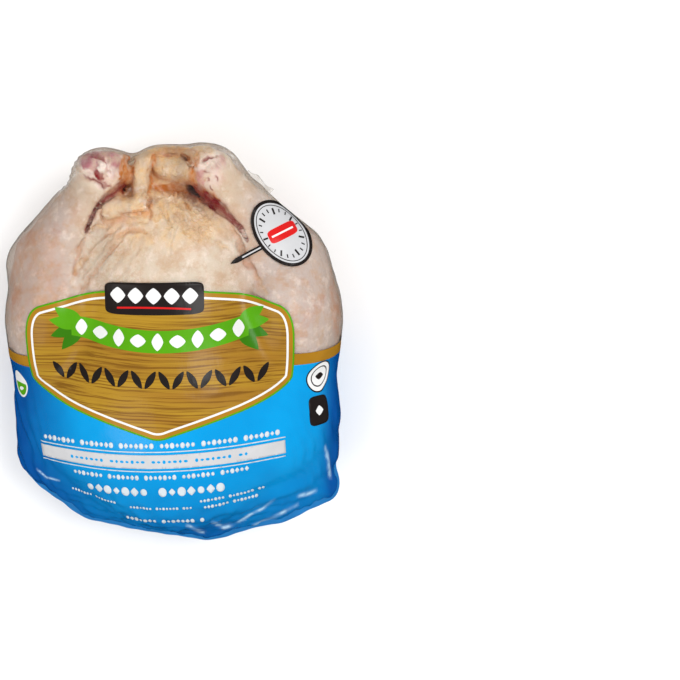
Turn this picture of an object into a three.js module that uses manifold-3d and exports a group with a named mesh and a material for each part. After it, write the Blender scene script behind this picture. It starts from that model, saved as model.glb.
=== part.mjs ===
// A whole raw chicken lying on its back, sealed in a tight shrink bag: one closed solid of the film's outer form.
// Millimetres. +Z is up, +Y runs from the neck end to the knuckles of the legs, +X is to the right seen from above.
import * as THREE from 'three';
import { mergeVertices } from 'three/addons/utils/BufferGeometryUtils.js';
import Module from 'manifold-3d';

// Driving dimensions
const WIDTH = 196;               // across both thighs
const LENGTH = 236;              // neck end to knuckles
const HEIGHT = 118;              // back to the crown of the breast
const LEG_LEAN = 6;                // how far the tied legs lean towards -X at the knuckles
const LEG_BLEND = 12;            // how softly thigh, drumstick and knuckle run into each other
const FILM_BLEND = 11;           // how softly the film bridges from one form to the next
const FLOOR_BLEND = 6;           // rounding where the back meets the surface it lies on
const SPHERE_CUTS = 20;          // cuts along each edge of the starting icosahedron
const CENTRE = new THREE.Vector3(0, 4, 48);

// The seal across the neck end, and the gathered end of the bag beside one leg
const SEAL = { thickness: 1.3, width: 12, standsOut: 3.6, ripple: 1.1, ripples: 7, stations: 60 };
const TUFT = { thickness: 2, width: 17, length: 15, turn: -0.72, tilt: 0.5 };

// A place given as shares of half the width, half the length and the height
function place(side, x, y, z) {
  const lean = y > 0 ? LEG_LEAN * y * y : 0;
  return new THREE.Vector3(side * x * WIDTH / 2 - lean, y * LENGTH / 2, z * HEIGHT);
}

// An egg-shaped lobe, its reach given in the same shares, turned about Z and pitched about its own X
function egg(side, at, reach, turn = 0, pitch = 0) {
  const radii = new THREE.Vector3(reach[0] * WIDTH / 2, reach[1] * LENGTH / 2, reach[2] * HEIGHT);
  const turned = new THREE.Matrix4().makeRotationZ(THREE.MathUtils.degToRad(side * turn));
  turned.multiply(new THREE.Matrix4().makeRotationX(THREE.MathUtils.degToRad(pitch)));
  return { centre: place(side, ...at), radii, unturn: turned.invert() };
}

// A limb with round ends and its own thickness at each end
function limb(side, from, to, thickFrom, thickTo) {
  const start = place(side, ...from);
  const along = place(side, ...to).sub(start);
  return { start, along, thickFrom: thickFrom * WIDTH / 2, thickTo: thickTo * WIDTH / 2 };
}

const local = new THREE.Vector3();
function distanceToEgg(point, lobe) {
  local.copy(point).sub(lobe.centre).applyMatrix4(lobe.unturn).divide(lobe.radii);
  const reach = local.length();
  const slope = local.divide(lobe.radii).length();
  return reach * (reach - 1) / Math.max(slope, 1e-6);
}

function distanceToLimb(point, lobe) {
  local.copy(point).sub(lobe.start);
  const share = THREE.MathUtils.clamp(local.dot(lobe.along) / lobe.along.lengthSq(), 0, 1);
  const thickness = THREE.MathUtils.lerp(lobe.thickFrom, lobe.thickTo, share);
  return local.addScaledVector(lobe.along, -share).length() - thickness;
}

function softMin(a, b, blend) {
  const near = Math.max(blend - Math.abs(a - b), 0) / blend;
  return Math.min(a, b) - near * near * blend / 4;
}

function distanceToGroup(point, lobes, blend) {
  let distance = Infinity;
  for (const lobe of lobes) {
    const next = lobe.radii ? distanceToEgg(point, lobe) : distanceToLimb(point, lobe);
    distance = distance === Infinity ? next : softMin(distance, next, blend);
  }
  return distance;
}

// Trunk of the bird, back down
const trunk = [
  egg(1, [0.03, -0.22, 0.52], [0.69, 0.69, 0.48], 0, -5),      // breast
  egg(1, [0.00, 0.34, 0.51], [0.59, 0.46, 0.34], 0, 6),        // belly
  egg(1, [0.00, -0.05, 0.24], [0.82, 0.80, 0.31]),             // back
  egg(1, [0.04, -0.44, 0.39], [0.90, 0.42, 0.30]),             // shoulders
  egg(1, [0.11, -0.67, 0.36], [0.64, 0.29, 0.29]),             // neck end
  egg(1, [-0.02, 0.67, 0.39], [0.36, 0.26, 0.29]),             // tail
];

// One leg: thigh, hip, drumstick and its knuckle
function leg(side, out) {
  return [
    egg(side, [0.67 + out, 0.17, 0.46], [0.31, 0.39, 0.37], 9),
    egg(side, [0.52, 0.46, 0.32], [0.20, 0.29, 0.22], 28),
    limb(side, [0.66 + out, 0.42, 0.52], [0.33, 0.80, 0.68], 0.225, 0.143),
    egg(side, [0.30, 0.867, 0.69], [0.146, 0.096, 0.105]),
  ];
}

function wing(side) {
  return limb(side, [0.73, -0.08, 0.39], [0.70, -0.50, 0.36], 0.22, 0.25);
}

// Loose skin of the vent between the knuckles
const vent = [
  limb(1, [-0.25, 0.65, 0.71], [-0.11, 0.70, 0.73], 0.09, 0.08),
  limb(1, [-0.09, 0.70, 0.73], [-0.06, 0.87, 0.61], 0.056, 0.05),
  egg(1, [0.11, 0.84, 0.63], [0.12, 0.085, 0.085]),
];

// Film stretched over hollows, and from the knuckles down the outer sides of the legs
const bridges = [
  egg(1, [0.05, -0.32, 0.485], [0.92, 0.50, 0.44], 0, -3),
  egg(1, [-0.30, -0.66, 0.39], [0.58, 0.24, 0.22], -14),
  egg(1, [0.44, -0.66, 0.39], [0.52, 0.22, 0.22], 14),
  limb(1, [-0.27, 0.86, 0.70], [0.00, 0.83, 0.54], 0.09, 0.09),
  limb(1, [0.02, 0.89, 0.59], [0.22, 0.90, 0.61], 0.095, 0.10),
  limb(1, [0.32, 0.87, 0.67], [0.44, 0.70, 0.62], 0.10, 0.11),
  limb(1, [0.46, 0.70, 0.52], [0.72, 0.42, 0.44], 0.11, 0.13),
  limb(-1, [0.52, 0.66, 0.58], [0.80, 0.40, 0.48], 0.10, 0.12),
];

// The pillow-shaped edge of the film across the neck end, from corner to corner, with its thickness
const hemPoints = [
  { x: -0.785, y: -0.600, thick: 0.090 },
  { x: -0.470, y: -0.770, thick: 0.115 },
  { x: 0.185, y: -0.875, thick: 0.115 },
  { x: 0.610, y: -0.785, thick: 0.110 },
  { x: 0.888, y: -0.748, thick: 0.072 },
];
const HEM_LEVEL = 0.38;
const hem = hemPoints.slice(1).map((to, i) => {
  const from = hemPoints[i];
  return limb(1, [from.x, from.y, HEM_LEVEL], [to.x, to.y, HEM_LEVEL], from.thick, to.thick);
});

const legs = [leg(1, 0.02), leg(-1, -0.02)];
const torso = [...trunk, wing(1), wing(-1), ...vent, ...bridges, ...hem];

// Distance from a point to the outer film, negative inside
function distanceToBag(point) {
  let distance = distanceToGroup(point, torso, FILM_BLEND);
  for (const lobes of legs) {
    distance = softMin(distance, distanceToGroup(point, lobes, LEG_BLEND), FILM_BLEND);
  }
  return -softMin(-distance, point.z, FLOOR_BLEND);
}

// The outermost point of the bag along a ray from its middle
function outermost(direction, from = CENTRE) {
  const start = LENGTH;
  const shortest = 0.02;
  const caution = 0.7;
  let reach = start;
  const point = new THREE.Vector3();
  for (let step = 0; step < 120; step += 1) {
    point.copy(from).addScaledVector(direction, reach);
    const distance = distanceToBag(point);
    if (distance < shortest) break;
    reach -= distance * caution;
  }
  return point;
}

function bagGeometry() {
  const geometry = positionsOnly(new THREE.IcosahedronGeometry(1, SPHERE_CUTS));
  const position = geometry.getAttribute('position');
  const direction = new THREE.Vector3();
  const flatBelow = 0.1;
  for (let i = 0; i < position.count; i += 1) {
    direction.fromBufferAttribute(position, i).normalize();
    const point = outermost(direction);
    position.setXYZ(i, point.x, point.y, point.z < flatBelow ? 0 : point.z);
  }
  return geometry;
}

// The seal: a thin rippled strip that follows the outline of the neck end from corner to corner
function sealGeometry() {
  const level = new THREE.Vector3(0, -20, HEM_LEVEL * HEIGHT);
  const firstAngle = THREE.MathUtils.degToRad(212);
  const lastAngle = THREE.MathUtils.degToRad(329.5);
  const points = [];
  for (let i = 0; i <= SEAL.stations; i += 1) {
    const share = i / SEAL.stations;
    const angle = THREE.MathUtils.lerp(firstAngle, lastAngle, share);
    const direction = new THREE.Vector3(Math.cos(angle), Math.sin(angle), 0);
    const point = outermost(direction, level);
    point.addScaledVector(direction, SEAL.standsOut - SEAL.width / 2);
    point.z += SEAL.ripple * Math.sin(share * SEAL.ripples * 2 * Math.PI);
    points.push(point);
  }
  const halfWidth = SEAL.width / 2;
  const halfThickness = SEAL.thickness / 2;
  const section = new THREE.Shape([
    new THREE.Vector2(-halfThickness, -halfWidth),
    new THREE.Vector2(halfThickness, -halfWidth),
    new THREE.Vector2(halfThickness, halfWidth),
    new THREE.Vector2(-halfThickness, halfWidth),
  ]);
  const path = new THREE.CatmullRomCurve3(points);
  return new THREE.ExtrudeGeometry(section, { steps: SEAL.stations, extrudePath: path });
}

// The gathered end of the bag: a short crumpled tab of film at the outside of one drumstick
function tuftGeometry() {
  const outline = new THREE.Shape();
  outline.moveTo(-TUFT.width / 2, -TUFT.length);
  outline.lineTo(TUFT.width / 2, -TUFT.length);
  outline.lineTo(TUFT.width * 0.56, TUFT.length * 0.1);
  outline.lineTo(TUFT.width * 0.26, TUFT.length * 0.34);
  outline.lineTo(TUFT.width * 0.04, TUFT.length * 0.14);
  outline.lineTo(-TUFT.width * 0.3, TUFT.length * 0.4);
  outline.lineTo(-TUFT.width * 0.52, TUFT.length * 0.12);
  outline.closePath();
  const geometry = new THREE.ExtrudeGeometry(outline, { depth: TUFT.thickness, bevelEnabled: false });
  geometry.translate(0, 0, -TUFT.thickness / 2);
  geometry.rotateX(TUFT.tilt);
  geometry.rotateZ(TUFT.turn);
  const root = place(1, 0.55, 0.79, 0.585);
  geometry.translate(root.x, root.y, root.z);
  return geometry;
}

function positionsOnly(geometry) {
  geometry.deleteAttribute('normal');
  geometry.deleteAttribute('uv');
  return mergeVertices(geometry, 1e-4);
}

const wasm = await Module();
wasm.setup();

function toSolid(geometry) {
  const merged = positionsOnly(geometry);
  const vertProperties = new Float32Array(merged.getAttribute('position').array);
  const triVerts = new Uint32Array(merged.getIndex().array);
  return new wasm.Manifold(new wasm.Mesh({ numProp: 3, vertProperties, triVerts }));
}

function toGeometry(solid) {
  const mesh = solid.getMesh();
  const geometry = new THREE.BufferGeometry();
  geometry.setAttribute('position', new THREE.BufferAttribute(new Float32Array(mesh.vertProperties), 3));
  geometry.setIndex(new THREE.BufferAttribute(new Uint32Array(mesh.triVerts), 1));
  geometry.computeVertexNormals();
  return geometry;
}

// Put the middle of the box's base at the origin
function centredOnBase(geometry) {
  geometry.computeBoundingBox();
  const middle = geometry.boundingBox.getCenter(new THREE.Vector3());
  return geometry.translate(-middle.x, -middle.y, -geometry.boundingBox.min.z);
}

const fused = toSolid(bagGeometry()).add(toSolid(sealGeometry())).add(toSolid(tuftGeometry()));
const film = new THREE.MeshStandardMaterial({ color: 0xd8b29a, roughness: 0.3, metalness: 0 });
const bagged = new THREE.Mesh(centredOnBase(toGeometry(fused)), film);
bagged.name = 'bagged_chicken';

const chicken = new THREE.Group();
chicken.add(bagged);
export default chicken;
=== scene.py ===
"""A whole raw chicken on its back in a tight printed shrink bag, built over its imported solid.

The bird, the film round it and the solid share one form: egg-shaped lobes and tapering limbs that run
softly into each other. Lengths here are millimetres in the form's own coordinates: +X to the right,
+Y from the neck end to the knuckles, +Z up, until a finished mesh is moved into the frame in metres.
"""

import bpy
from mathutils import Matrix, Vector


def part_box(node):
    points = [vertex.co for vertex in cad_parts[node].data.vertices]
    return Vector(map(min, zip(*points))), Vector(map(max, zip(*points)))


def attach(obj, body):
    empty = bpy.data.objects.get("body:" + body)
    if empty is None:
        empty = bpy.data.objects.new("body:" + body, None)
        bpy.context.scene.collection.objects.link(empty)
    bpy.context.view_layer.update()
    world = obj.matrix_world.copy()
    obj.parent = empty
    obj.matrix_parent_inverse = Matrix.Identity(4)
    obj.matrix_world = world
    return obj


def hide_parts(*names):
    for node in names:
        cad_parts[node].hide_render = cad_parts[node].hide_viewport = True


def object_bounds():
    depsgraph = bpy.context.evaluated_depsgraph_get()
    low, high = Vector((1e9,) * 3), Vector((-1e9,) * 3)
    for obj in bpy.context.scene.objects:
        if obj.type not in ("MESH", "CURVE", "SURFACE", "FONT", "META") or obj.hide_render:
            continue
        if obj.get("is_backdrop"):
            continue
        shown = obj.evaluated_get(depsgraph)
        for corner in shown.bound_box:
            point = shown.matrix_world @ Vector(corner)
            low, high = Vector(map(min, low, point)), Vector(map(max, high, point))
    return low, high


bl_info = {
    "name": "Bagged chicken",
    "version": (1, 0, 0),
    "blender": (4, 5, 0),
    "location": "3D View > Sidebar > Chicken",
    "description": "Builds a whole raw chicken in a printed shrink bag over its packed solid",
    "category": "Object",
}

import math

import bmesh
import bpy
import numpy as np
from bpy.props import FloatProperty, FloatVectorProperty, IntProperty, PointerProperty
from mathutils import Matrix, Vector
from mathutils.bvhtree import BVHTree
from mathutils.geometry import delaunay_2d_cdt

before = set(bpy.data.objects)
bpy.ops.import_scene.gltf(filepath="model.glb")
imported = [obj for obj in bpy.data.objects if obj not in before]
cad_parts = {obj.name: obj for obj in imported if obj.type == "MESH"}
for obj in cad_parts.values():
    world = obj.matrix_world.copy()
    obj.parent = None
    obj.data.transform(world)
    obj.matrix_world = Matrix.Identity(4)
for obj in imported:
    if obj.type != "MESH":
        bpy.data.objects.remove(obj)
CAD_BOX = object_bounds()
NODE = "bagged_chicken"
BODY = "root"
BAG_LOW, BAG_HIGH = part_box(NODE)

# Driving dimensions of the form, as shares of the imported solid's box
MM = 0.001
BAG_SIZE = (BAG_HIGH - BAG_LOW) / MM
WIDTH = BAG_SIZE.x * 1.0147
LENGTH = BAG_SIZE.y * 0.9846
HEIGHT = BAG_SIZE.z * 0.9976
MIDDLE = np.array([1.7, -2.4, 0.0])
LEG_LEAN = 6.0
LEG_BLEND = 12.0
FILM_BLEND = 11.0
FLOOR_BLEND = 6.0
HEM_LEVEL = 0.38

# Where the camera stands, in the form's coordinates
CAMERA_TILT = math.radians(12.0)
CAMERA_TARGET = np.array([96.6, 1.7, 55.0])
CAMERA_DISTANCE = 1086.0
CAMERA_LENS = 100.0
CAMERA_BACK = np.array([0.0, math.sin(CAMERA_TILT), math.cos(CAMERA_TILT)])
CAMERA_UP = np.array([0.0, math.cos(CAMERA_TILT), -math.sin(CAMERA_TILT)])
CAMERA_EYE = CAMERA_TARGET + CAMERA_BACK * CAMERA_DISTANCE

# Surfaces kept for the pieces that lie on them
BUILT = {}


# The form

def place(side, x, y, z):
    """A point given as shares of half the width, half the length and the height."""
    lean = LEG_LEAN * y * y if y > 0 else 0.0
    return np.array([side * x * WIDTH / 2 - lean, y * LENGTH / 2, z * HEIGHT])


def egg_at(centre, radii, turn=0.0, pitch=0.0):
    """Distance to an egg-shaped lobe, turned about Z and pitched about its own X."""
    turned = Matrix.Rotation(math.radians(turn), 3, "Z") @ Matrix.Rotation(math.radians(pitch), 3, "X")
    turned = np.array(turned)
    centre = np.asarray(centre, float)
    radii = np.asarray(radii, float)

    def distance(points):
        local = (points - centre) @ turned
        reach = np.linalg.norm(local / radii, axis=1)
        slope = np.linalg.norm(local / radii ** 2, axis=1)
        return reach * (reach - 1) / np.maximum(slope, 1e-6)

    return distance


def limb_between(start, end, thick_start, thick_end):
    """Distance to a limb with round ends and its own thickness at each."""
    start = np.asarray(start, float)
    along = np.asarray(end, float) - start

    def distance(points):
        local = points - start
        share = np.clip(local @ along / (along @ along), 0, 1)
        thick = thick_start + (thick_end - thick_start) * share
        return np.linalg.norm(local - share[:, None] * along, axis=1) - thick

    return distance


def egg(side, at, reach, turn=0.0, pitch=0.0):
    radii = (reach[0] * WIDTH / 2, reach[1] * LENGTH / 2, reach[2] * HEIGHT)
    return egg_at(place(side, *at), radii, side * turn, pitch)


def limb(side, start, end, thick_start, thick_end):
    half = WIDTH / 2
    return limb_between(place(side, *start), place(side, *end), thick_start * half, thick_end * half)


def soft_min(a, b, blend):
    near = np.maximum(blend - np.abs(a - b), 0) / blend
    return np.minimum(a, b) - near * near * blend / 4


def soft_max(a, b, blend):
    return -soft_min(-a, -b, blend)


def together(points, lobes, blend):
    """Distance to lobes that run softly into each other."""
    distance = lobes[0](points)
    for lobe in lobes[1:]:
        distance = soft_min(distance, lobe(points), blend)
    return distance


TRUNK = [
    egg(1, (0.03, -0.22, 0.52), (0.69, 0.69, 0.48), 0, -5),
    egg(1, (0.00, 0.34, 0.51), (0.59, 0.46, 0.34), 0, 6),
    egg(1, (0.00, -0.05, 0.24), (0.82, 0.80, 0.31)),
    egg(1, (0.04, -0.44, 0.39), (0.90, 0.42, 0.30)),
    egg(1, (0.11, -0.67, 0.36), (0.64, 0.29, 0.29)),
    egg(1, (-0.02, 0.67, 0.39), (0.36, 0.26, 0.29)),
]
WINGS = [limb(side, (0.73, -0.08, 0.39), (0.70, -0.50, 0.36), 0.22, 0.25) for side in (1, -1)]


def leg(side, out):
    return [
        egg(side, (0.67 + out, 0.17, 0.46), (0.31, 0.39, 0.37), 9),
        egg(side, (0.52, 0.46, 0.32), (0.20, 0.29, 0.22), 28),
        limb(side, (0.66 + out, 0.42, 0.52), (0.33, 0.80, 0.68), 0.225, 0.143),
        egg(side, (0.30, 0.867, 0.69), (0.146, 0.096, 0.105)),
    ]


LEGS = [leg(1, 0.02), leg(-1, -0.02)]
VENT = [
    limb(1, (-0.25, 0.65, 0.71), (-0.11, 0.70, 0.73), 0.09, 0.08),
    limb(1, (-0.09, 0.70, 0.73), (-0.06, 0.87, 0.61), 0.056, 0.05),
    egg(1, (0.11, 0.84, 0.63), (0.12, 0.085, 0.085)),
]
BRIDGES = [
    egg(1, (0.05, -0.32, 0.485), (0.92, 0.50, 0.44), 0, -3),
    egg(1, (-0.30, -0.66, 0.39), (0.58, 0.24, 0.22), -14),
    egg(1, (0.44, -0.66, 0.39), (0.52, 0.22, 0.22), 14),
    limb(1, (-0.27, 0.86, 0.70), (0.00, 0.83, 0.54), 0.09, 0.09),
    limb(1, (0.02, 0.89, 0.59), (0.22, 0.90, 0.61), 0.095, 0.10),
    limb(1, (0.32, 0.87, 0.67), (0.44, 0.70, 0.62), 0.10, 0.11),
    limb(1, (0.46, 0.70, 0.52), (0.72, 0.42, 0.44), 0.11, 0.13),
    limb(-1, (0.52, 0.66, 0.58), (0.80, 0.40, 0.48), 0.10, 0.12),
]
HEM_POINTS = [
    (-0.785, -0.600, 0.090),
    (-0.470, -0.770, 0.115),
    (0.185, -0.875, 0.115),
    (0.610, -0.785, 0.110),
    (0.888, -0.748, 0.072),
]
HEM = [
    limb(1, (a[0], a[1], HEM_LEVEL), (b[0], b[1], HEM_LEVEL), a[2], b[2])
    for a, b in zip(HEM_POINTS, HEM_POINTS[1:])
]


def film_form(points):
    """Distance to the outer film, negative inside."""
    distance = together(points, TRUNK + WINGS + VENT + BRIDGES + HEM, FILM_BLEND)
    for lobes in LEGS:
        distance = soft_min(distance, together(points, lobes, LEG_BLEND), FILM_BLEND)
    return soft_max(distance, -points[:, 2], FLOOR_BLEND)


# The bird under the film: the same trunk and legs with crisper creases between them, the knuckles with
# their condyles, and the loose folds and the hollows of the vent. The folds and hollows are lines as the
# camera sees them, on the plane through its target, with their half width and their depth under the film
KNUCKLES = [
    [
        egg_at((-34.0, 101.8, 81.2), (13.8, 11.2, 12.3), 0),
        egg_at((-41.6, 107.2, 84.2), (6.8, 5.8, 9.6), 25),
        egg_at((-30.8, 105.4, 84.8), (8.0, 7.8, 10.0), -15),
    ],
    [
        egg_at((25.2, 101.8, 81.2), (13.8, 11.2, 12.3), 0),
        egg_at((19.0, 106.5, 84.0), (7.6, 6.8, 9.4), 15),
        egg_at((30.0, 107.5, 82.8), (7.6, 6.0, 9.4), -20),
    ],
]
# Line, half width, cover of film. The last two close the hollows beside the vent at the bottom
FOLDS = [
    ([(-15.6, 106.0), (-17.8, 98.0), (-18.0, 88.0), (-18.6, 80.0), (-21.5, 76.5)], 5.8, 0.9),
    ([(-31.5, 107.0), (-22.0, 107.5), (-16.0, 106.5)], 4.6, 1.0),
    ([(-3.0, 98.6), (2.2, 98.0)], 8.2, 1.1),
    ([(-35.0, 75.0), (-28.0, 77.5), (-21.3, 76.0)], 6.4, 0.9),
    ([(-8.5, 75.5), (-2.0, 79.0), (5.0, 78.5), (12.0, 74.5)], 6.4, 1.4),
    ([(-12.7, 107.0), (-3.0, 110.0), (9.0, 108.5), (20.1, 109.5)], 4.4, 0.8),
    ([(-26.4, 106.0), (-26.6, 97.0), (-28.6, 85.0)], 5.6, 4.4),
    ([(4.0, 93.0), (12.0, 88.0), (23.0, 79.0)], 6.5, 4.6),
]
# Line, half width at its start and at its end, depth under the film
HOLLOWS = [
    ([(-26.2, 98.5), (-26.4, 92.5), (-26.8, 88.0), (-28.6, 85.7)], 2.2, 2.8, 4.2),
    ([(-28.2, 88.8), (-33.9, 84.0), (-39.7, 79.9), (-44.3, 74.8), (-49.5, 62.1)], 2.2, 0.8, 5.0),
    ([(-9.5, 88.0), (-4.0, 87.2), (3.0, 86.8), (10.4, 87.6)], 1.4, 3.8, 4.4),
    ([(12.7, 86.3), (18.4, 82.3), (23.6, 78.2), (28.8, 74.8)], 3.6, 2.6, 5.4),
    ([(28.8, 74.8), (34.5, 69.6), (39.7, 63.8), (43.1, 57.5)], 2.0, 0.5, 4.0),
    ([(-9.6, 105.5), (-11.6, 98.0), (-11.8, 90.0), (-13.6, 82.0)], 0.8, 0.8, 2.8),
    ([(7.5, 105.5), (11.5, 100.0), (12.3, 94.0), (10.0, 89.0)], 0.9, 2.2, 4.0),
]
FILM_GAP = 0.7
PRINT_GAP = 2.4
LEAST_GAP = 0.6
BACK_LEVEL = 0.4
TOP_LEVEL = 56.0
VENT_START = 30.0
VENT_DEPTH = 26.0
BIRD_TRUNK_BLEND = 11.0
BIRD_WING_BLEND = 6.0
SHANK_BLEND = 4.0
GROIN_BLEND = 2.6
KNUCKLE_BLEND = 1.6
FOLD_BLEND = 1.6
HOLLOW_BLEND = 2.6
SKIN_BLEND = 1.2


def fold_form(seen, depth, line, half, cover):
    """Distance to a fold with a round top that lies that far under the film."""
    away = distance_to_line(seen, line)[0]
    return np.hypot(away, np.minimum(depth - half - cover, 0)) - half


def hollow_form(seen, depth, line, first, last, deep):
    """Distance to a channel with a round bottom, open towards the film, with its half width at each end."""
    away, share = distance_to_line(seen, line)
    half = first + (last - first) * share
    return np.hypot(away, np.maximum(depth - deep + half, 0)) - half


def bird_form(points):
    """Distance to the bird's skin, everywhere a little inside the film."""
    film = film_form(points)
    distance = together(points, TRUNK, BIRD_TRUNK_BLEND)
    distance = soft_min(distance, together(points, WINGS, BIRD_WING_BLEND), BIRD_WING_BLEND)
    near = (points[:, 2] > TOP_LEVEL) & (points[:, 1] > VENT_START) & (film > -VENT_DEPTH)
    seen, depth = as_seen(points[near]), -film[near]
    folded = distance[near]
    for line, half, cover in FOLDS:
        folded = soft_min(folded, fold_form(seen, depth, line, half, cover), FOLD_BLEND)
    distance[near] = folded
    for lobes, knuckle in zip(LEGS, KNUCKLES):
        end = together(points, knuckle, KNUCKLE_BLEND)
        shank = soft_min(together(points, lobes[:3], LEG_BLEND), end, SHANK_BLEND)
        distance = soft_min(distance, shank, GROIN_BLEND)
    carved = distance[near]
    for hollow in HOLLOWS:
        carved = soft_max(carved, -hollow_form(seen, depth, *hollow), HOLLOW_BLEND)
    distance[near] = carved
    return soft_max(distance, film + gap_at(points), SKIN_BLEND)


def gap_at(points):
    """How far the skin stays under the film: more where the printed film folds deeper."""
    return FILM_GAP + PRINT_GAP * fade(-points[:, 1], 8, 50)


# Wrapping a distance with a mesh

BLOCK = 4
ROOM_ACROSS = 6.0
ROOM_ALONG = 8.0
ROOM_UNDER = 3.0
ROOM_OVER = 5.0


def form_box():
    """The low and the high corner of a box round the whole form, with room to spare."""
    half = np.array([WIDTH / 2 + ROOM_ACROSS, LENGTH / 2 + ROOM_ALONG, 0])
    return -half - [0, 0, ROOM_UNDER], half + [0, 0, HEIGHT + ROOM_OVER]


def field_on_grid(distance, low, counts, step):
    """The distance on a grid, worked out point by point only in the blocks that the surface may cross."""
    blocks = counts // BLOCK
    centres = [low[i] + step * (BLOCK * np.arange(blocks[i]) + (BLOCK - 1) / 2) for i in range(3)]
    coarse = distance(np.stack(np.meshgrid(*centres, indexing="ij"), -1).reshape(-1, 3)).reshape(blocks)
    field = coarse
    for axis in range(3):
        field = np.repeat(field, BLOCK, axis)
    near = np.nonzero(np.abs(field) < step * BLOCK * 1.7)
    field[near] = distance(low + step * np.stack(near, -1))
    return field


def wrap(distance, low, high, step):
    """Points and quads that wrap the zero level of a distance, facing out."""
    low = np.asarray(low, float)
    counts = BLOCK * np.ceil((np.asarray(high) - low) / (step * BLOCK)).astype(int)
    field = field_on_grid(distance, low, counts, step)
    inside = field < 0
    corners = [(i, j, k) for i in (0, 1) for j in (0, 1) for k in (0, 1)]
    cells = counts - 1

    def at(grid, corner):
        return grid[tuple(slice(c, c + n) for c, n in zip(corner, cells))]

    filled = sum(at(inside, corner).astype(np.uint8) for corner in corners)
    crossed = (filled > 0) & (filled < 8)
    number = np.full(tuple(cells), -1)
    number[crossed] = np.arange(crossed.sum())
    cell = np.argwhere(crossed)

    total = np.zeros((len(cell), 3))
    hits = np.zeros(len(cell))
    for corner in corners:
        for axis in range(3):
            if corner[axis]:
                continue
            far = tuple(c + (n == axis) for n, c in enumerate(corner))
            a = field[tuple((cell + corner).T)]
            b = field[tuple((cell + far).T)]
            cut = (a < 0) != (b < 0)
            share = np.where(cut, a / np.where(cut, a - b, 1), 0)
            spot = cell + corner + share[:, None] * (np.arange(3) == axis)
            total += np.where(cut[:, None], spot, 0)
            hits += cut
    points = low + step * total / hits[:, None]

    quads = []
    for axis in range(3):
        second, third = (axis + 1) % 3, (axis + 2) % 3
        ahead = np.arange(3) == axis
        start = inside[tuple(slice(0, n - 1 if i == axis else n) for i, n in enumerate(counts))]
        end = inside[tuple(slice(1 if i == axis else 0, n) for i, n in enumerate(counts))]
        edge = np.argwhere(start != end)
        keep = np.all((edge[:, [second, third]] > 0) & (edge[:, [second, third]] < cells[[second, third]]), 1)
        edge = edge[keep & (edge[:, axis] < cells[axis])]
        one, two = (np.arange(3) == second).astype(int), (np.arange(3) == third).astype(int)
        ring = [edge - one - two, edge - two, edge, edge - one]
        quad = np.stack([number[tuple(r.T)] for r in ring], 1)
        outward = inside[tuple(edge.T)] & ~inside[tuple((edge + ahead).T)]
        quad[~outward] = quad[~outward][:, ::-1]
        quads.append(quad)
    return points, np.concatenate(quads)


def slope_of(distance, points, reach=0.3):
    """The gradient of a distance, by differences towards the corners of a tetrahedron."""
    corners = np.array([(1, -1, -1), (-1, -1, 1), (-1, 1, -1), (1, 1, 1)], float)
    return sum(distance(points + reach * corner)[:, None] * corner for corner in corners) / (4 * reach)


def outward_at(distance, points):
    slope = slope_of(distance, points)
    return slope / np.maximum(np.linalg.norm(slope, axis=1), 1e-6)[:, None]


def settle(distance, points, rounds=2):
    """Moves points onto the zero level."""
    for _ in range(rounds):
        slope = slope_of(distance, points)
        steep = np.maximum((slope ** 2).sum(1), 0.05)
        points = points - np.clip(distance(points) / steep, -2, 2)[:, None] * slope
    return points


# Measures along lines and soft random patterns

def as_seen(points):
    """Where points appear to the camera, in millimetres on the plane through its target."""
    offset = points - CAMERA_EYE
    depth = -(offset @ CAMERA_BACK)
    across = offset[:, 0] * CAMERA_DISTANCE / depth + CAMERA_TARGET[0]
    up = (offset @ CAMERA_UP) * CAMERA_DISTANCE / depth
    return np.stack([across, up], 1)


def distance_to_line(points, line):
    """The distance to a line through points, and the share of the way along it."""
    line = np.asarray(line, float)
    best = np.full(len(points), 1e9)
    share = np.zeros(len(points))
    pieces = len(line) - 1
    for i in range(pieces):
        along = line[i + 1] - line[i]
        t = np.clip((points - line[i]) @ along / (along @ along), 0, 1)
        away = np.linalg.norm(points - line[i] - t[:, None] * along, axis=1)
        nearer = away < best
        best = np.where(nearer, away, best)
        share = np.where(nearer, (i + t) / pieces, share)
    return best, share


def near_line(points, line, width):
    """1 on a line, falling to 0 beside it and fainter towards its ends."""
    away, share = distance_to_line(points, line)
    return np.exp(-(away / width) ** 2) * (1 - np.abs(2 * share - 1) ** 4)


WAVES = 9


def ripples(points, length, seed):
    """A soft random pattern from -1 to 1 with bumps of about that length."""
    draw = np.random.default_rng(seed)
    total = np.zeros(len(points))
    for _ in range(WAVES):
        direction = draw.normal(size=points.shape[1])
        direction /= np.linalg.norm(direction)
        pace = 2 * math.pi / (length * draw.uniform(0.7, 1.5))
        total += np.sin(points @ direction * pace + draw.uniform(0, 2 * math.pi))
    return total / math.sqrt(WAVES) / 1.4


def fade(value, low, high):
    """0 below low, 1 above high, smooth between."""
    t = np.clip((value - low) / (high - low), 0, 1)
    return t * t * (3 - 2 * t)


# Meshes

def to_frame(points):
    return (np.asarray(points) - MIDDLE) * MM


def new_mesh(name, points, faces, materials):
    """A mesh object with its place in its mesh, in the frame's metres."""
    mesh = bpy.data.meshes.new(name)
    mesh.from_pydata(to_frame(points).tolist(), [], [list(map(int, f)) for f in faces])
    mesh.validate()
    for material in materials:
        mesh.materials.append(material)
    mesh.polygons.foreach_set("use_smooth", [True] * len(mesh.polygons))
    piece = bpy.data.objects.new(name, mesh)
    bpy.context.scene.collection.objects.link(piece)
    return piece


def set_attribute(piece, name, values):
    attribute = piece.data.attributes.new(name, "FLOAT", "POINT")
    attribute.data.foreach_set("value", np.asarray(values, np.float32))


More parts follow.
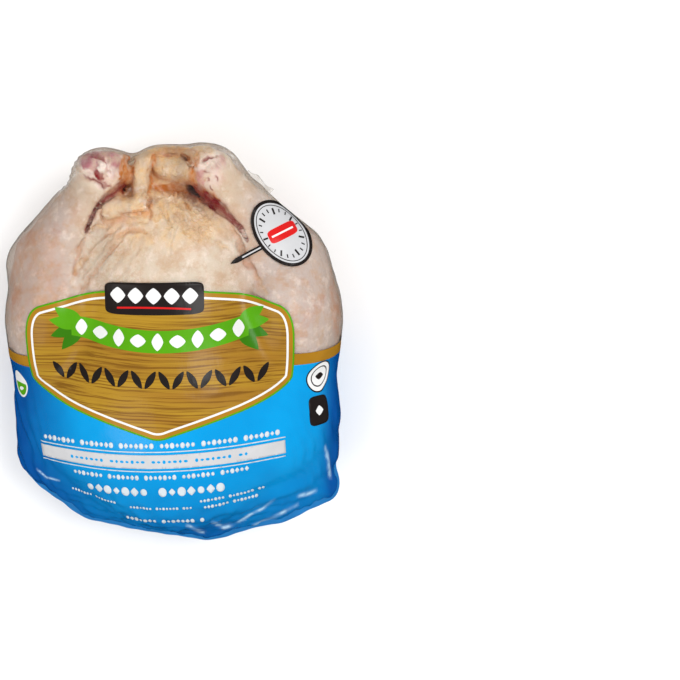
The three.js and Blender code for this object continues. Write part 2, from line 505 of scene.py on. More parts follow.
def hand_over(piece):
    """Hangs the finished piece on its body and hides the imported solid."""
    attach(piece, BODY)
    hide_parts(NODE)


# Materials

class Finish:
    """A material and short ways to add nodes to it."""

    def __init__(self, name):
        self.material = bpy.data.materials.new(name)
        self.material.use_nodes = True
        self.tree = self.material.node_tree
        self.tree.nodes.clear()
        self.output = self.tree.nodes.new("ShaderNodeOutputMaterial")
        self.place = self.add("ShaderNodeTexCoord").outputs["Object"]

    def add(self, kind, inputs=None, **settings):
        node = self.tree.nodes.new(kind)
        for key, value in settings.items():
            setattr(node, key, value)
        for key, value in (inputs or {}).items():
            self.put(node.inputs[key], value)
        return node

    def put(self, socket, value):
        if isinstance(value, bpy.types.NodeSocket):
            self.tree.links.new(value, socket)
        else:
            socket.default_value = value

    def mix(self, factor, a, b):
        node = self.tree.nodes.new("ShaderNodeMix")
        node.data_type = "RGBA"
        self.put(node.inputs[0], factor)
        self.put(node.inputs[6], a)
        self.put(node.inputs[7], b)
        return node.outputs[2]

    def math(self, operation, a, b=0.0):
        node = self.tree.nodes.new("ShaderNodeMath")
        node.operation = operation
        self.put(node.inputs[0], a)
        self.put(node.inputs[1], b)
        return node.outputs[0]

    def ramp(self, value, low, high, start=0.0, end=1.0):
        node = self.add("ShaderNodeMapRange", {"Value": value}, interpolation_type="SMOOTHSTEP")
        limits = (("From Min", low), ("From Max", high), ("To Min", start), ("To Max", end))
        for key, limit in limits:
            node.inputs[key].default_value = limit
        return node.outputs["Result"]

    def noise(self, scale, detail=3.0, rough=0.55, place=None, stretch=(1, 1, 1)):
        place = place or self.place
        if stretch != (1, 1, 1):
            place = self.add("ShaderNodeMapping", {"Vector": place, "Scale": stretch}).outputs["Vector"]
        inputs = {"Vector": place, "Scale": scale, "Detail": detail, "Roughness": rough}
        return self.add("ShaderNodeTexNoise", inputs).outputs["Fac"]

    def attribute(self, name):
        return self.add("ShaderNodeAttribute", attribute_name=name).outputs["Fac"]

    def bump(self, height, strength, depth, normal=None):
        inputs = {"Height": height, "Strength": strength, "Distance": depth}
        if normal:
            inputs["Normal"] = normal
        return self.add("ShaderNodeBump", inputs).outputs["Normal"]

    def principled(self, **inputs):
        inputs = {key.replace("_", " "): value for key, value in inputs.items()}
        return self.add("ShaderNodeBsdfPrincipled", inputs).outputs[0]

    def blend(self, share, a, b):
        """A shader that goes from a to b."""
        node = self.add("ShaderNodeMixShader")
        for socket, value in zip(node.inputs, (share, a, b)):
            self.put(socket, value)
        return node.outputs[0]

    def close(self, shader):
        self.tree.links.new(shader, self.output.inputs["Surface"])
        return self.material


def opaque(colour):
    return (*colour, 1.0)


def skin_finish(colours):
    """Moist raw skin: cream over the breast, rosy on the legs, yellow fat, blood in the creases, and brown
    that is partly the skin's own colour and partly painted shade in the hollows, creases and at the sides.
    """
    f = Finish("raw_skin")
    broad = f.ramp(f.noise(26, 4, 0.65), 0.38, 0.64)
    base = f.mix(broad, opaque(colours.cream), opaque(colours.pale))
    rosy = f.attribute("rosy")
    base = f.mix(f.math("MULTIPLY", rosy, 0.9), base, opaque(colours.rosy))
    most = f.math("ADD", f.math("MULTIPLY", rosy, 0.7), 0.28)
    flushed = f.math("MULTIPLY", f.ramp(f.noise(48, 5, 0.7), 0.5, 0.72), most)
    base = f.mix(flushed, base, opaque(colours.flush))
    fat_spots = f.ramp(f.noise(210, 3, 0.6), 0.35, 0.7, 0.55, 1.0)
    base = f.mix(f.math("MULTIPLY", f.attribute("fat"), fat_spots), base, opaque(colours.fat))
    wrinkled = f.attribute("wrinkled")
    specks = f.ramp(f.noise(260, 4, 0.7), 0.52, 0.70)
    base = f.mix(f.math("MULTIPLY", specks, f.math("ADD", f.math("MULTIPLY", wrinkled, 0.4), 0.14)), base,
                 opaque(colours.deep_fat))
    marble = f.ramp(f.noise(95, 5, 0.75), 0.44, 0.62)
    base = f.mix(f.math("MULTIPLY", marble, 0.48), base, opaque(colours.marble))
    pale_specks = f.ramp(f.noise(150, 5, 0.75), 0.50, 0.66, 0.0, 0.5)
    base = f.mix(pale_specks, base, opaque(colours.bone))
    blotches = f.ramp(f.noise(300, 3, 0.6), 0.3, 0.7, 0.6, 1.2)
    base = f.mix(f.math("MULTIPLY", f.attribute("bruise"), blotches), base, opaque(colours.bruise))
    base = f.mix(f.attribute("bone"), base, opaque(colours.bone))
    # Brown: partly the skin's own colour, partly painted shade in the hollows, creases and at the sides
    base = f.mix(f.math("MULTIPLY", f.attribute("brown_and_shade"), blotches), base, opaque(colours.brown_and_shade))
    base = f.mix(f.attribute("blood"), base, opaque(colours.blood))

    pores = f.add("ShaderNodeTexVoronoi", {"Vector": f.place, "Scale": 300.0}, feature="SMOOTH_F1")
    goose = f.math("MULTIPLY", f.ramp(pores.outputs["Distance"], 0.45, 0.05), f.math("ADD", rosy, 0.25))
    normal = f.bump(goose, 0.35, 0.0005)
    normal = f.bump(f.noise(120, 4, 0.65), 0.30, 0.0012, normal)
    creased = f.math("MULTIPLY", f.noise(380, 4, 0.7), f.math("ADD", wrinkled, 0.25))
    normal = f.bump(creased, 0.5, 0.0011, normal)
    return f.close(f.principled(Base_Color=base, Normal=normal, Roughness=0.5, Specular_IOR_Level=0.28,
                                Subsurface_Weight=0.15, Subsurface_Radius=(1.0, 0.45, 0.25),
                                Subsurface_Scale=0.002))


def film_finish(name, edge, milk):
    """Clear shrink film: see-through, with gloss, an edge tint that is painted shade, and a whitish haze at
    grazing angles and where it is creased, partly milkiness and partly painted sheen and glints.
    """
    f = Finish(name)
    strain = f.noise(120, 3, 0.6, stretch=(1.0, 2.6, 1.0))
    crumple = f.attribute("crumple")
    height = f.math("ADD", strain, f.math("MULTIPLY", crumple, f.noise(260, 3)))
    normal = f.bump(height, 0.3, 0.0009)
    facing = f.add("ShaderNodeLayerWeight", {"Blend": 0.3}).outputs["Facing"]
    # Painted shade: the see-through colour turns to the edge colour towards grazing angles, darkening the
    # sides that turn away
    tint = f.mix(facing, (0.99, 0.985, 0.975, 1), opaque(edge))
    clear = f.add("ShaderNodeBsdfTransparent", {"Color": tint})
    shine = f.add("ShaderNodeBsdfGlossy", {"Roughness": 0.14, "Normal": normal})
    fresnel = f.add("ShaderNodeFresnel", {"IOR": 1.32, "Normal": normal})
    glossy = f.math("MULTIPLY", fresnel.outputs[0], 0.65)
    film = f.blend(glossy, clear.outputs[0], shine.outputs[0])
    # The whitish diffuse haze at grazing angles and along the crease streaks is partly the film's milkiness
    # and partly painted sheen and glints
    haze = f.add("ShaderNodeBsdfDiffuse", {"Color": (0.86, 0.86, 0.83, 1), "Normal": normal})
    glint_streaks = f.ramp(f.noise(260, 3, 0.65, stretch=(1.0, 0.3, 1.0)), 0.42, 0.74)
    milk_and_sheen = f.math("MULTIPLY", crumple, f.math("ADD", f.math("MULTIPLY", glint_streaks, 0.42), milk))
    amount = f.math("ADD", f.math("MULTIPLY", facing, 0.08), milk_and_sheen)
    return f.close(f.blend(amount, film, haze.outputs[0]))


def film_bump(f):
    """The fine strain lines of shrunk film."""
    lines = f.noise(90, 3, 0.6, stretch=(2.2, 0.8, 1.0))
    return f.bump(lines, 0.16, 0.0009)


def blue_finish(colours):
    """Printed film of the neck end: a blue field with painted shade, darker towards its left side, its hem
    and its far right edge.
    """
    f = Finish("blue_print")
    axes = f.add("ShaderNodeSeparateXYZ", {"Vector": f.place})
    # Painted shade: the field darkens towards the left, the hem and the far right, where less light falls
    across = f.ramp(axes.outputs["X"], -0.103, -0.035)
    along = f.ramp(axes.outputs["Y"], -0.150, -0.035)
    edge = f.ramp(axes.outputs["X"], 0.094, 0.080)
    centre = f.math("MULTIPLY", f.math("MULTIPLY", across, along), edge)
    clouds = f.math("MULTIPLY", f.ramp(f.noise(22, 3), 0.3, 0.7), 0.2)
    base = f.mix(f.math("SUBTRACT", centre, clouds), opaque(colours.shaded_blue), opaque(colours.blue))
    # Painted highlights: pale streaks on the crests of the folds at the hem
    base = f.mix(f.attribute("crest_highlight"), base, opaque(colours.crest_highlight))
    return f.close(f.principled(Base_Color=base, Normal=film_bump(f), Roughness=0.22,
                                Specular_IOR_Level=0.22))


INK_GLOSS = {"Roughness": 0.28, "Specular_IOR_Level": 0.16}


def ink_finish(name, colour, grain=0.08):
    """One printed colour with a faint cloudiness."""
    f = Finish(name)
    shade = tuple(c * 0.72 for c in colour)
    cloud = f.math("MULTIPLY", f.ramp(f.noise(60, 4), 0.3, 0.75), grain * 4)
    base = f.mix(cloud, opaque(colour), opaque(shade))
    return f.close(f.principled(Base_Color=base, Normal=film_bump(f), **INK_GLOSS))


def wood_finish(colours):
    """The plaque's printed wood: long fine grain along X with broader planks of colour."""
    f = Finish("wood_print")
    waver = f.noise(16, 2, 0.5, stretch=(1.0, 1.5, 0.2))
    offset = f.add("ShaderNodeCombineXYZ", {"Y": f.math("MULTIPLY", waver, 0.006)})
    shifted = f.add("ShaderNodeVectorMath", {0: f.place, 1: offset.outputs[0]}, operation="ADD")
    place = shifted.outputs[0]
    grain = f.noise(520, 3, 0.6, place, (0.028, 1.7, 0.1))
    planks = f.noise(75, 2, 0.5, place, (0.10, 1.3, 0.1))
    base = f.mix(f.ramp(planks, 0.35, 0.65), opaque(colours.wood), opaque(colours.dark_wood))
    base = f.mix(f.math("MULTIPLY", f.ramp(grain, 0.46, 0.62), 0.85), base, opaque(colours.grain))
    return f.close(f.principled(Base_Color=base, Normal=film_bump(f), **INK_GLOSS))


# The bird

def seen_region(seen, centre, reach, turn=0.0):
    """1 inside an oval as the camera sees it, fading to 0 outside."""
    turn = math.radians(turn)
    offset = seen - np.asarray(centre)
    u = offset[:, 0] * math.cos(turn) + offset[:, 1] * math.sin(turn)
    v = -offset[:, 0] * math.sin(turn) + offset[:, 1] * math.cos(turn)
    away = np.sqrt((u / reach[0]) ** 2 + (v / reach[1]) ** 2)
    return 1 - fade(away, 0.75, 1.25)


# Creases of the skin as the camera sees them: line, width, depth and the colour that fills them; a brown fill
# is partly the skin's own colour and partly painted shade in the groove
CREASES = [
    ([(-49.5, 59.8), (-52.9, 53.5), (-55.2, 44.9), (-55.8, 34.5)], 1.1, 0.9, "brown_and_shade"),
    ([(32.2, 69.6), (35.7, 61.5), (39.7, 53.5), (43.1, 44.9), (46.6, 40.3), (51.8, 28.8)], 1.5, 1.3, "brown_and_shade"),
    ([(-40.8, 76.5), (-40.3, 70.2), (-36.8, 65.0)], 1.0, 1.2, "brown_and_shade"),
    ([(-48.3, 63.8), (-41.4, 65.0), (-36.8, 65.0)], 0.9, 0.8, "fat"),
    ([(-41.4, 57.5), (-36.8, 61.0), (-33.9, 63.3)], 1.2, 0.9, "brown_and_shade"),
    ([(-32.8, 57.5), (-28.8, 61.0), (-25.3, 62.7), (-19.6, 63.3), (-12.7, 62.1)], 1.2, 1.1, "brown_and_shade"),
    ([(-52.9, 24.7), (-48.3, 34.5), (-42.6, 42.0), (-34.5, 51.8), (-27.0, 58.7)], 1.0, 0.9, "brown_and_shade"),
    ([(-57.5, 28.8), (-55.8, 39.1), (-51.8, 44.9), (-44.3, 49.5)], 1.1, 0.8, "fat"),
    ([(-29.3, 71.9), (-21.3, 72.5), (-13.8, 72.5)], 1.0, 0.9, "brown_and_shade"),
    ([(-21.3, 68.4), (-12.7, 67.9)], 0.8, 0.6, "fat"),
    ([(-12.1, 86.3), (-13.8, 77.6), (-12.7, 69.0)], 1.0, 1.3, "brown_and_shade"),
    ([(-1.2, 82.2), (3.5, 78.2), (5.2, 74.8)], 1.0, 1.2, "fat"),
    ([(7.5, 80.5), (9.2, 76.5), (11.5, 75.3)], 1.0, 1.2, "brown_and_shade"),
    ([(-7.0, 78.0), (-3.5, 73.5), (-2.0, 68.5), (1.0, 65.0)], 1.0, 1.1, "fat"),
    ([(11.5, 81.5), (17.0, 77.0), (24.0, 72.0)], 1.1, 1.0, "fat"),
    ([(2.3, 67.9), (0.6, 62.1), (-1.2, 54.6), (-2.3, 47.2)], 1.1, 0.6, "fat"),
    ([(24.2, 57.5), (28.8, 54.6), (33.4, 51.8)], 1.1, 0.7, "fat"),
    ([(47.7, 40.3), (51.8, 31.6), (55.2, 24.7)], 0.9, 0.7, "fat"),
    ([(-9.8, 109.3), (2.3, 106.4), (11.5, 104.1)], 1.2, 1.2, "brown_and_shade"),
    ([(-47.5, 107.5), (-42.0, 105.0), (-35.0, 102.4)], 1.1, 1.3, "bruise"),
    ([(-42.6, 103.5), (-43.6, 98.0), (-42.0, 94.5)], 0.9, 1.2, "bruise"),
    ([(-52.5, 94.9), (-46.3, 92.6), (-40.4, 89.6), (-37.2, 87.0)], 0.8, 1.0, "blood"),
    ([(17.0, 102.0), (21.0, 104.6), (26.5, 107.0)], 0.8, 0.9, "blood"),
    ([(14.0, 99.0), (16.2, 101.4), (19.0, 99.8), (21.6, 101.6), (25.0, 100.6)], 0.8, 0.5, "bone"),
    ([(16.6, 104.4), (19.4, 106.6), (22.0, 105.8), (25.0, 108.6), (29.6, 107.6)], 0.9, 0.5, "bone"),
    ([(-53.0, 100.0), (-50.0, 97.0), (-47.6, 98.2), (-45.0, 95.6)], 0.8, 0.5, "bone"),
    ([(-38.6, 106.0), (-36.0, 100.0), (-36.8, 94.0)], 0.8, 0.6, "bone"),
    ([(20.2, 94.0), (20.8, 92.4), (20.6, 90.2)], 0.55, 0.4, "blood"),
    ([(24.4, 95.0), (25.6, 93.6), (25.2, 91.0)], 0.5, 0.4, "blood"),
    ([(17.8, 96.8), (19.4, 95.8), (21.6, 96.4)], 0.5, 0.4, "blood"),
    ([(22.4, 88.6), (22.8, 86.0)], 0.45, 0.4, "blood"),
    ([(-76.5, 79.0), (-69.5, 86.5), (-61.0, 95.5)], 0.9, 0.6, "brown_and_shade"),
    ([(-72.0, 80.0), (-66.0, 86.0)], 0.8, 0.5, "brown_and_shade"),
]
CREASE_TINT = {"brown_and_shade": 0.42, "fat": 0.5, "blood": 0.85, "bruise": 0.9, "bone": 0.9}

# Stretches of colour as the camera sees them: centre, reach, turn, strength and colour; the brown ones in the
# hollows and along the sides are partly painted shade
PATCHES = [
    ((-8.0, 88.0), (26.0, 22.0), 0, 0.7, "fat"),
    ((-2.0, 66.0), (34.0, 14.0), 0, 0.4, "fat"),
    ((-25.0, 74.0), (15.0, 8.0), 12, 0.45, "fat"),
    ((-69.0, 86.0), (17.0, 4.4), 48, 0.95, "fat"),
    ((-70.5, 87.5), (14.0, 2.2), 48, 0.5, "brown_and_shade"),
    ((-21.0, 73.2), (8.5, 2.0), 3, 0.55, "brown_and_shade"),
    ((-12.5, 76.0), (1.6, 8.0), 4, 0.5, "brown_and_shade"),
    ((56.0, 86.0), (9.0, 3.0), -48, 0.8, "fat"),
    ((57.0, 87.0), (8.0, 2.0), -50, 0.5, "brown_and_shade"),
    ((4.0, 108.0), (20.0, 6.5), 0, 1.0, "fat"),
    ((4.0, 107.5), (15.0, 3.0), 0, 0.5, "brown_and_shade"),
    ((-26.6, 97.0), (3.4, 10.0), -4, 0.95, "brown_and_shade"),
    ((-24.2, 93.0), (2.0, 9.5), -4, 0.95, "brown_and_shade"),
    ((14.0, 104.0), (2.2, 4.0), 0, 0.6, "brown_and_shade"),
    ((-24.6, 106.4), (3.0, 3.6), 0, 0.95, "brown_and_shade"),
    ((11.0, 87.0), (4.6, 3.6), -20, 0.95, "brown_and_shade"),
    ((-28.0, 87.0), (2.2, 3.4), -20, 0.8, "blood"),
    ((3.0, 87.2), (11.0, 3.2), -4, 0.95, "brown_and_shade"),
    ((20.0, 81.0), (9.0, 5.0), -36, 0.85, "brown_and_shade"),
    ((23.0, 79.0), (8.5, 3.6), -40, 0.95, "blood"),
    ((-46.0, 103.5), (7.5, 7.5), 20, 0.85, "bruise"),
    ((-34.0, 101.0), (5.5, 9.0), 10, 0.65, "bruise"),
    ((-43.5, 106.0), (5.5, 1.6), -24, 0.35, "blood"),
    ((-42.0, 92.0), (8.0, 4.0), -30, 0.3, "bruise"),
    ((-33.4, 94.0), (4.0, 6.0), 12, 0.6, "bone"),
    ((-40.2, 100.0), (2.6, 4.0), 0, 1.0, "bone"),
    ((-49.0, 95.5), (4.0, 2.6), 0, 0.4, "bone"),
    ((-42.0, 94.4), (1.7, 3.6), 38, 1.0, "blood"),
    ((-38.6, 89.8), (0.9, 4.4), 52, 0.7, "blood"),
    ((19.0, 103.0), (9.0, 4.6), 24, 0.6, "bone"),
    ((27.5, 103.0), (4.0, 5.0), 10, 0.4, "bruise"),
    ((16.4, 94.5), (2.6, 6.0), 14, 0.6, "bruise"),
    ((23.0, 97.0), (8.0, 9.0), 10, 0.32, "bruise"),
    ((24.5, 92.0), (4.0, 6.0), 10, 0.3, "bone"),
    ((3.2, 71.9), (2.8, 2.4), 0, 0.25, "blood"),
    ((-1.0, 106.5), (3.4, 1.3), 0, 0.4, "blood"),
    # Painted shade: brown along the left and right sides, where the body turns away from the light
    ((-90.0, 34.0), (3.0, 24.0), 6, 0.3, "brown_and_shade"),
    ((-76.0, 34.0), (16.0, 34.0), 8, 0.22, "brown_and_shade"),
    ((94.0, 32.0), (3.0, 34.0), 2, 0.35, "brown_and_shade"),
]

# Regions of relief as the camera sees them: centre, reach and turn
FOLDED = ((-4.0, 84.0), (34.0, 24.0))
LOBED = ((0.0, 76.5), (20.0, 9.0), -8)
SKIRT = ((5.0, 108.0), (16.0, 5.0))
PLEATED = ((-38.0, 48.0), (20.0, 20.0))
GRAINED = ((15.0, 66.0), (11.0, 10.0), -20)
GRISTLE = (((-38.0, 100.0), (12.0, 9.0)), ((19.0, 103.0), (11.0, 7.0)))
PLEAT_WIDTH = 5.2
PLEAT_LEAN = np.array([0.80, -0.60])
BLOODY_BELOW = 76.0


class BirdSettings(bpy.types.PropertyGroup):
    grid: FloatProperty(name="Grid", description="Spacing of the skin's mesh", default=2.36 * MM,
                        unit="LENGTH")
    follicle_seed: IntProperty(name="Relief seed", description="Seed of the skin's unevenness", default=7)
    cream: FloatVectorProperty(name="Cream", description="Skin over the breast", subtype="COLOR",
                               default=(0.68, 0.59, 0.485))
    pale: FloatVectorProperty(name="Pale", description="Lighter patches of skin", subtype="COLOR",
                              default=(0.65, 0.51, 0.38))
    marble: FloatVectorProperty(name="Marble", description="Warm clouds under the skin", subtype="COLOR",
                                default=(0.56, 0.36, 0.22))
    rosy: FloatVectorProperty(name="Rosy", description="Skin of the thighs", subtype="COLOR",
                              default=(0.57, 0.475, 0.44))
    flush: FloatVectorProperty(name="Flush", description="Thin skin over muscle", subtype="COLOR",
                               default=(0.56, 0.34, 0.29))
    fat: FloatVectorProperty(name="Fat", description="Yellow skin and fat of the vent", subtype="COLOR",
                             default=(0.86, 0.56, 0.25))
    deep_fat: FloatVectorProperty(name="Deep fat", description="Specks of deeper yellow", subtype="COLOR",
                                  default=(0.52, 0.28, 0.08))
    # Brown is partly the skin's own colour and partly painted shade of the hollows, creases and sides
    brown_and_shade: FloatVectorProperty(name="Brown", description="Shaded hollows", subtype="COLOR",
                               default=(0.56, 0.19, 0.038))
    blood: FloatVectorProperty(name="Blood", description="Dark red of the deep creases", subtype="COLOR",
                               default=(0.23, 0.014, 0.017))
    bruise: FloatVectorProperty(name="Bruise", description="Purple of the knuckles", subtype="COLOR",
                                default=(0.50, 0.20, 0.235))
    bone: FloatVectorProperty(name="Bone", description="Cartilage and bared bone", subtype="COLOR",
                              default=(0.84, 0.73, 0.66))


def bare_region(points):
    """The top of the bird that shows through the clear film."""
    return (points[:, 1] > -12) & (points[:, 2] > 45)


def vent_region(points):
    """The region round the vent that needs the finest mesh."""
    seen = as_seen(points)
    across = np.abs(seen[:, 0] + 1.5) < 53
    return across & (seen[:, 1] > 46) & (seen[:, 1] < 116) & (points[:, 2] > 60)


def refine(points, faces, region):
    """Cuts the faces of a region into four, and their neighbours to suit."""
    mesh = bpy.data.meshes.new("refined")
    mesh.from_pydata(points.tolist(), [], [list(map(int, face)) for face in faces])
    shape = bmesh.new()
    shape.from_mesh(mesh)
    middle = np.array([face.calc_center_median() for face in shape.faces])
    shape.faces.ensure_lookup_table()
    edges = {edge for index in np.nonzero(region(middle))[0] for edge in shape.faces[int(index)].edges}
    bmesh.ops.subdivide_edges(shape, edges=list(edges), cuts=1, use_grid_fill=True)
    bmesh.ops.triangulate(shape, faces=[face for face in shape.faces if len(face.verts) > 4])
    points = np.array([vertex.co for vertex in shape.verts])
    faces = [[vertex.index for vertex in face.verts] for face in shape.faces]
    shape.free()
    bpy.data.meshes.remove(mesh)
    return points, faces


def skin_lines(points, seen, top, relief, tints):
    """Adds the grooves and the lips of the creases, and the tints of the creases and the hollows, whose brown
    is partly painted shade.
    """
    for line, width, depth, tint in CREASES:
        groove = near_line(seen, line, width) * top
        lips = near_line(seen, line, width * 2.6) * top
        relief += 0.7 * depth * (lips - groove) - 1.4 * depth * groove
        tints[tint] = np.maximum(tints[tint], CREASE_TINT[tint] * groove)
    # The hollows are tinted along their lines: blood, or brown that is partly painted shade
    for line, first, last, _ in HOLLOWS:
        tint = "blood" if line[-1][1] < BLOODY_BELOW else "brown_and_shade"
        away, share = distance_to_line(seen, line)
        spread = np.maximum(first + (last - first) * share, 0.7) * 1.2
        tints[tint] = np.maximum(tints[tint], 0.9 * np.exp(-(away / spread) ** 2) * top)
    uneven = np.clip(0.9 + 0.5 * ripples(points, 5, 23), 0, 1.2)
    for centre, reach, turn, strength, tint in PATCHES:
        patch = seen_region(seen, centre, reach, turn) * top
        tints[tint] = np.maximum(tints[tint], np.clip(strength * patch * uneven, 0, 1))


def skin_relief(points, straight, settings):
    """How far the skin stands out from its smooth form, with the tints of its creases and patches."""
    top = fade(points[:, 2], 52, 68)
    ragged = [ripples(points, 6, seed) + 0.5 * ripples(points, 2.4, seed + 2) for seed in (81, 82)]
    seen = straight + 0.75 * np.stack(ragged, 1)
    tints = {name: np.zeros(len(points)) for name in ("fat", "brown_and_shade", "blood", "bruise", "bone")}
    relief = 0.45 * ripples(points, 16, settings.follicle_seed) + 0.16 * ripples(points, 6, 11) - 0.15
    skin_lines(points, seen, top, relief, tints)
    folds = seen_region(seen, *FOLDED) * top
    lobes = seen_region(seen, *LOBED) * top
    skirt = seen_region(seen, *SKIRT) * top
    bent = points + 2.2 * np.stack([ripples(points, 13, seed) for seed in (71, 72, 73)], 1)
    strong = 0.4 * folds + 0.9 * lobes + 0.5 * skirt
    relief += strong * (np.abs(ripples(bent, 6.0, 31)) + 0.5 * np.abs(ripples(bent, 3.0, 37)) - 0.75)
    pleats = seen_region(seen, *PLEATED) * top
    turns = seen @ PLEAT_LEAN * 2 * math.pi / PLEAT_WIDTH
    relief += pleats * 0.6 * np.sin(turns + 1.6 * ripples(points, 22, 41))
    grains = seen_region(seen, *GRAINED) * top
    relief += grains * (1.2 * np.abs(ripples(points, 3.4, 43)) - 0.5)
    gristle = sum(seen_region(seen, *region) for region in GRISTLE)
    relief += gristle * top * 0.6 * (ripples(bent, 3.0, 47) - 0.3)
    tints["fat"] = np.maximum(tints["fat"], 0.55 * grains)
    tints["wrinkled"] = np.clip(folds + pleats * 0.5 + grains, 0, 1)
    return relief, tints


class CHICKEN_OT_bird(bpy.types.Operator):
    """Make the raw bird: one closed skin with its legs, knuckles, folds and creases"""
    bl_idname = "chicken.bird"
    bl_label = "Raw bird"

    def execute(self, context):
        settings = context.scene.chicken_bird
        points, quads = wrap(bird_form, *form_box(), settings.grid / MM)
        points, faces = refine(points, quads, bare_region)
        points, faces = refine(points, faces, vent_region)
        points = settle(bird_form, points)
        normal = outward_at(bird_form, points)
        relief, tints = skin_relief(points, as_seen(points), settings)
        points = points + normal * relief[:, None]
        over = film_form(points) + gap_at(points) * LEAST_GAP
        points = points - normal * np.maximum(over, 0)[:, None]
        points[:, 2] = np.maximum(points[:, 2], BACK_LEVEL)
        depth = -film_form(points)
        # Painted shade: brown deepens where the skin lies deep under the film, in the recesses between the
        # parts
        tints["brown_and_shade"] = np.maximum(tints["brown_and_shade"], 0.75 * fade(depth, 2.5, 9.0) * fade(points[:, 2], 50, 66))
        side = np.abs(points[:, 0] + 2)
        rosy = fade(side, 34, 58) * (1 - 0.7 * fade(points[:, 1], 84, 100))
        bird = new_mesh("bird", points, faces, [skin_finish(settings)])
        for name, values in tints.items():
            set_attribute(bird, name, values)
        set_attribute(bird, "rosy", rosy)
        hand_over(bird)
        return {"FINISHED"}


# The film

class FilmSettings(bpy.types.PropertyGroup):
    grid: FloatProperty(name="Grid", description="Spacing of the film's mesh", default=1.55 * MM,
                        unit="LENGTH")
    band_width: FloatProperty(name="Band", description="Width of the gold band", default=7.0 * MM,
                              unit="LENGTH")
    wall: FloatProperty(name="Wall", description="Thickness given to the printed film", default=0.2 * MM,
                        unit="LENGTH")
    seal_width: FloatProperty(name="Seal", description="How far the seal stands out", default=3.3 * MM,
                              unit="LENGTH")


# Where the gold band's upper edge crosses the middle, and how it slopes
BAND_EDGE = (0.0, 0.9, 0.0)
BAND_SLOPE = 0.016


# The main fold along the right of the hem as the camera sees it: its crest and its trough
RIDGE = [(28, -103), (42, -96), (58, -90), (74, -84), (84, -80)]
FURROW = [(24, -97), (42, -90), (60, -84), (78, -76)]

# Creased stretches of the clear film as the camera sees them: centre, reach, turn and strength
CRUMPLED = [
    ((-61.0, 93.5), (15.0, 4.6), 47, 0.9),
    ((-45.0, 109.0), (9.0, 2.6), 10, 0.4),
    ((20.0, 109.5), (12.0, 3.0), -3, 0.5),
    ((36.0, 106.5), (8.0, 4.0), -45, 0.9),
    ((50.0, 86.0), (6.0, 14.0), 38, 0.35),
    ((92.0, -62.0), (5.0, 26.0), 0, 0.6),
]

# Painted highlights on the crests of the printed film's folds as the camera sees them: line and width
HIGHLIGHT_CRESTS = [
    ([(46, -107), (56, -103), (66, -98), (73, -94)], 0.8),
    ([(72, -90), (79, -88), (84, -86)], 0.9),
    ([(8, -106), (14, -109), (19, -111)], 0.8),
    ([(36, -106), (44, -101), (52, -97), (60, -91)], 0.6),
    ([(88, -60), (90, -70), (91, -80)], 0.7),
    ([(-85, -80), (-80, -88), (-74, -93)], 0.5),
    ([(-40, -107), (-28, -109), (-12, -111)], 0.5),
    ([(-66, -97), (-58, -101), (-48, -104)], 0.5),
    ([(-78, -74), (-72, -79), (-64, -81)], 0.4),
    ([(22, -104), (30, -108), (36, -106)], 0.9),
]


def film_relief(points):
    """Strain folds of the film: soft over the body, deeper at the hem, the corners and the knuckles."""
    seen = as_seen(points)
    relief = 0.10 * ripples(points, 9, 3)
    hem = fade(-points[:, 1], 62, 104)
    swirl = ripples(points, 30, 5)
    relief += hem * 0.7 * ripples(points * [1.0, 0.45, 1.0], 9, 13)
    relief += fade(-points[:, 1], 84, 112) * 0.45 * ripples(points * [1.0, 0.5, 1.0], 4.6, 17)
    relief += hem * 0.35 * np.sin(points[:, 1] * 2 * math.pi / 8.5 + 3.0 * swirl)
    corner = np.exp(-((np.abs(points[:, 0]) - 86) / 16) ** 2) * fade(-points[:, 1], 5, 60)
    relief += corner * 0.55 * np.sin((points[:, 0] + 0.25 * points[:, 1]) * 2 * math.pi / 6.5 + 2.0 * swirl)
    main_fold = 1.5 * near_line(seen, RIDGE, 2.2) - 1.1 * near_line(seen, FURROW, 2.6)
    relief += fade(points[:, 2], 40, 50) * main_fold
    knuckles = seen_region(seen, (-58.0, 96.0), (13.0, 11.0), 40)
    relief += knuckles * 0.35 * np.sin((seen @ np.array([0.62, 0.78])) * 2 * math.pi / 3.6 + 2.2 * swirl)
    return relief


def crumple_of(points):
    """Where the clear film is creased, turns milky and carries painted glint streaks."""
    seen = as_seen(points)
    total = np.zeros(len(points))
    for centre, reach, turn, strength in CRUMPLED:
        total = np.maximum(total, strength * seen_region(seen, centre, reach, turn))
    return total


def crest_highlight_of(points):
    """Where the printed film carries painted highlights, pale on the crests of its folds at the hem."""
    seen = as_seen(points)
    total = np.zeros(len(points))
    for line, width in HIGHLIGHT_CRESTS:
        total = np.maximum(total, near_line(seen, line, width))
    broken = fade(ripples(points, 6, 61), -0.5, 0.5)
    return total * (0.25 + 0.75 * broken) * fade(points[:, 2], 30, 42)


def cut_piece(name, whole, material, above=None, below=None, wall=0.0):
    """The stretch of the film between two planes parallel to the gold band's edge."""
    shape = bmesh.new()
    shape.from_mesh(whole.data)
    facing = Vector((-BAND_SLOPE, 1.0, 0.0)).normalized()
    edge = Vector(to_frame(BAND_EDGE))
    for offset, outer in ((above, False), (below, True)):
        if offset is None:
            continue
        bmesh.ops.bisect_plane(shape, geom=shape.verts[:] + shape.edges[:] + shape.faces[:],
                               plane_co=edge + facing * offset, plane_no=facing,
                               clear_outer=outer, clear_inner=not outer)
    mesh = bpy.data.meshes.new(name)
    shape.to_mesh(mesh)
    shape.free()
    mesh.materials.append(material)
    piece = bpy.data.objects.new(name, mesh)
    bpy.context.scene.collection.objects.link(piece)
    if wall:
        give_wall(piece, wall)
    return piece


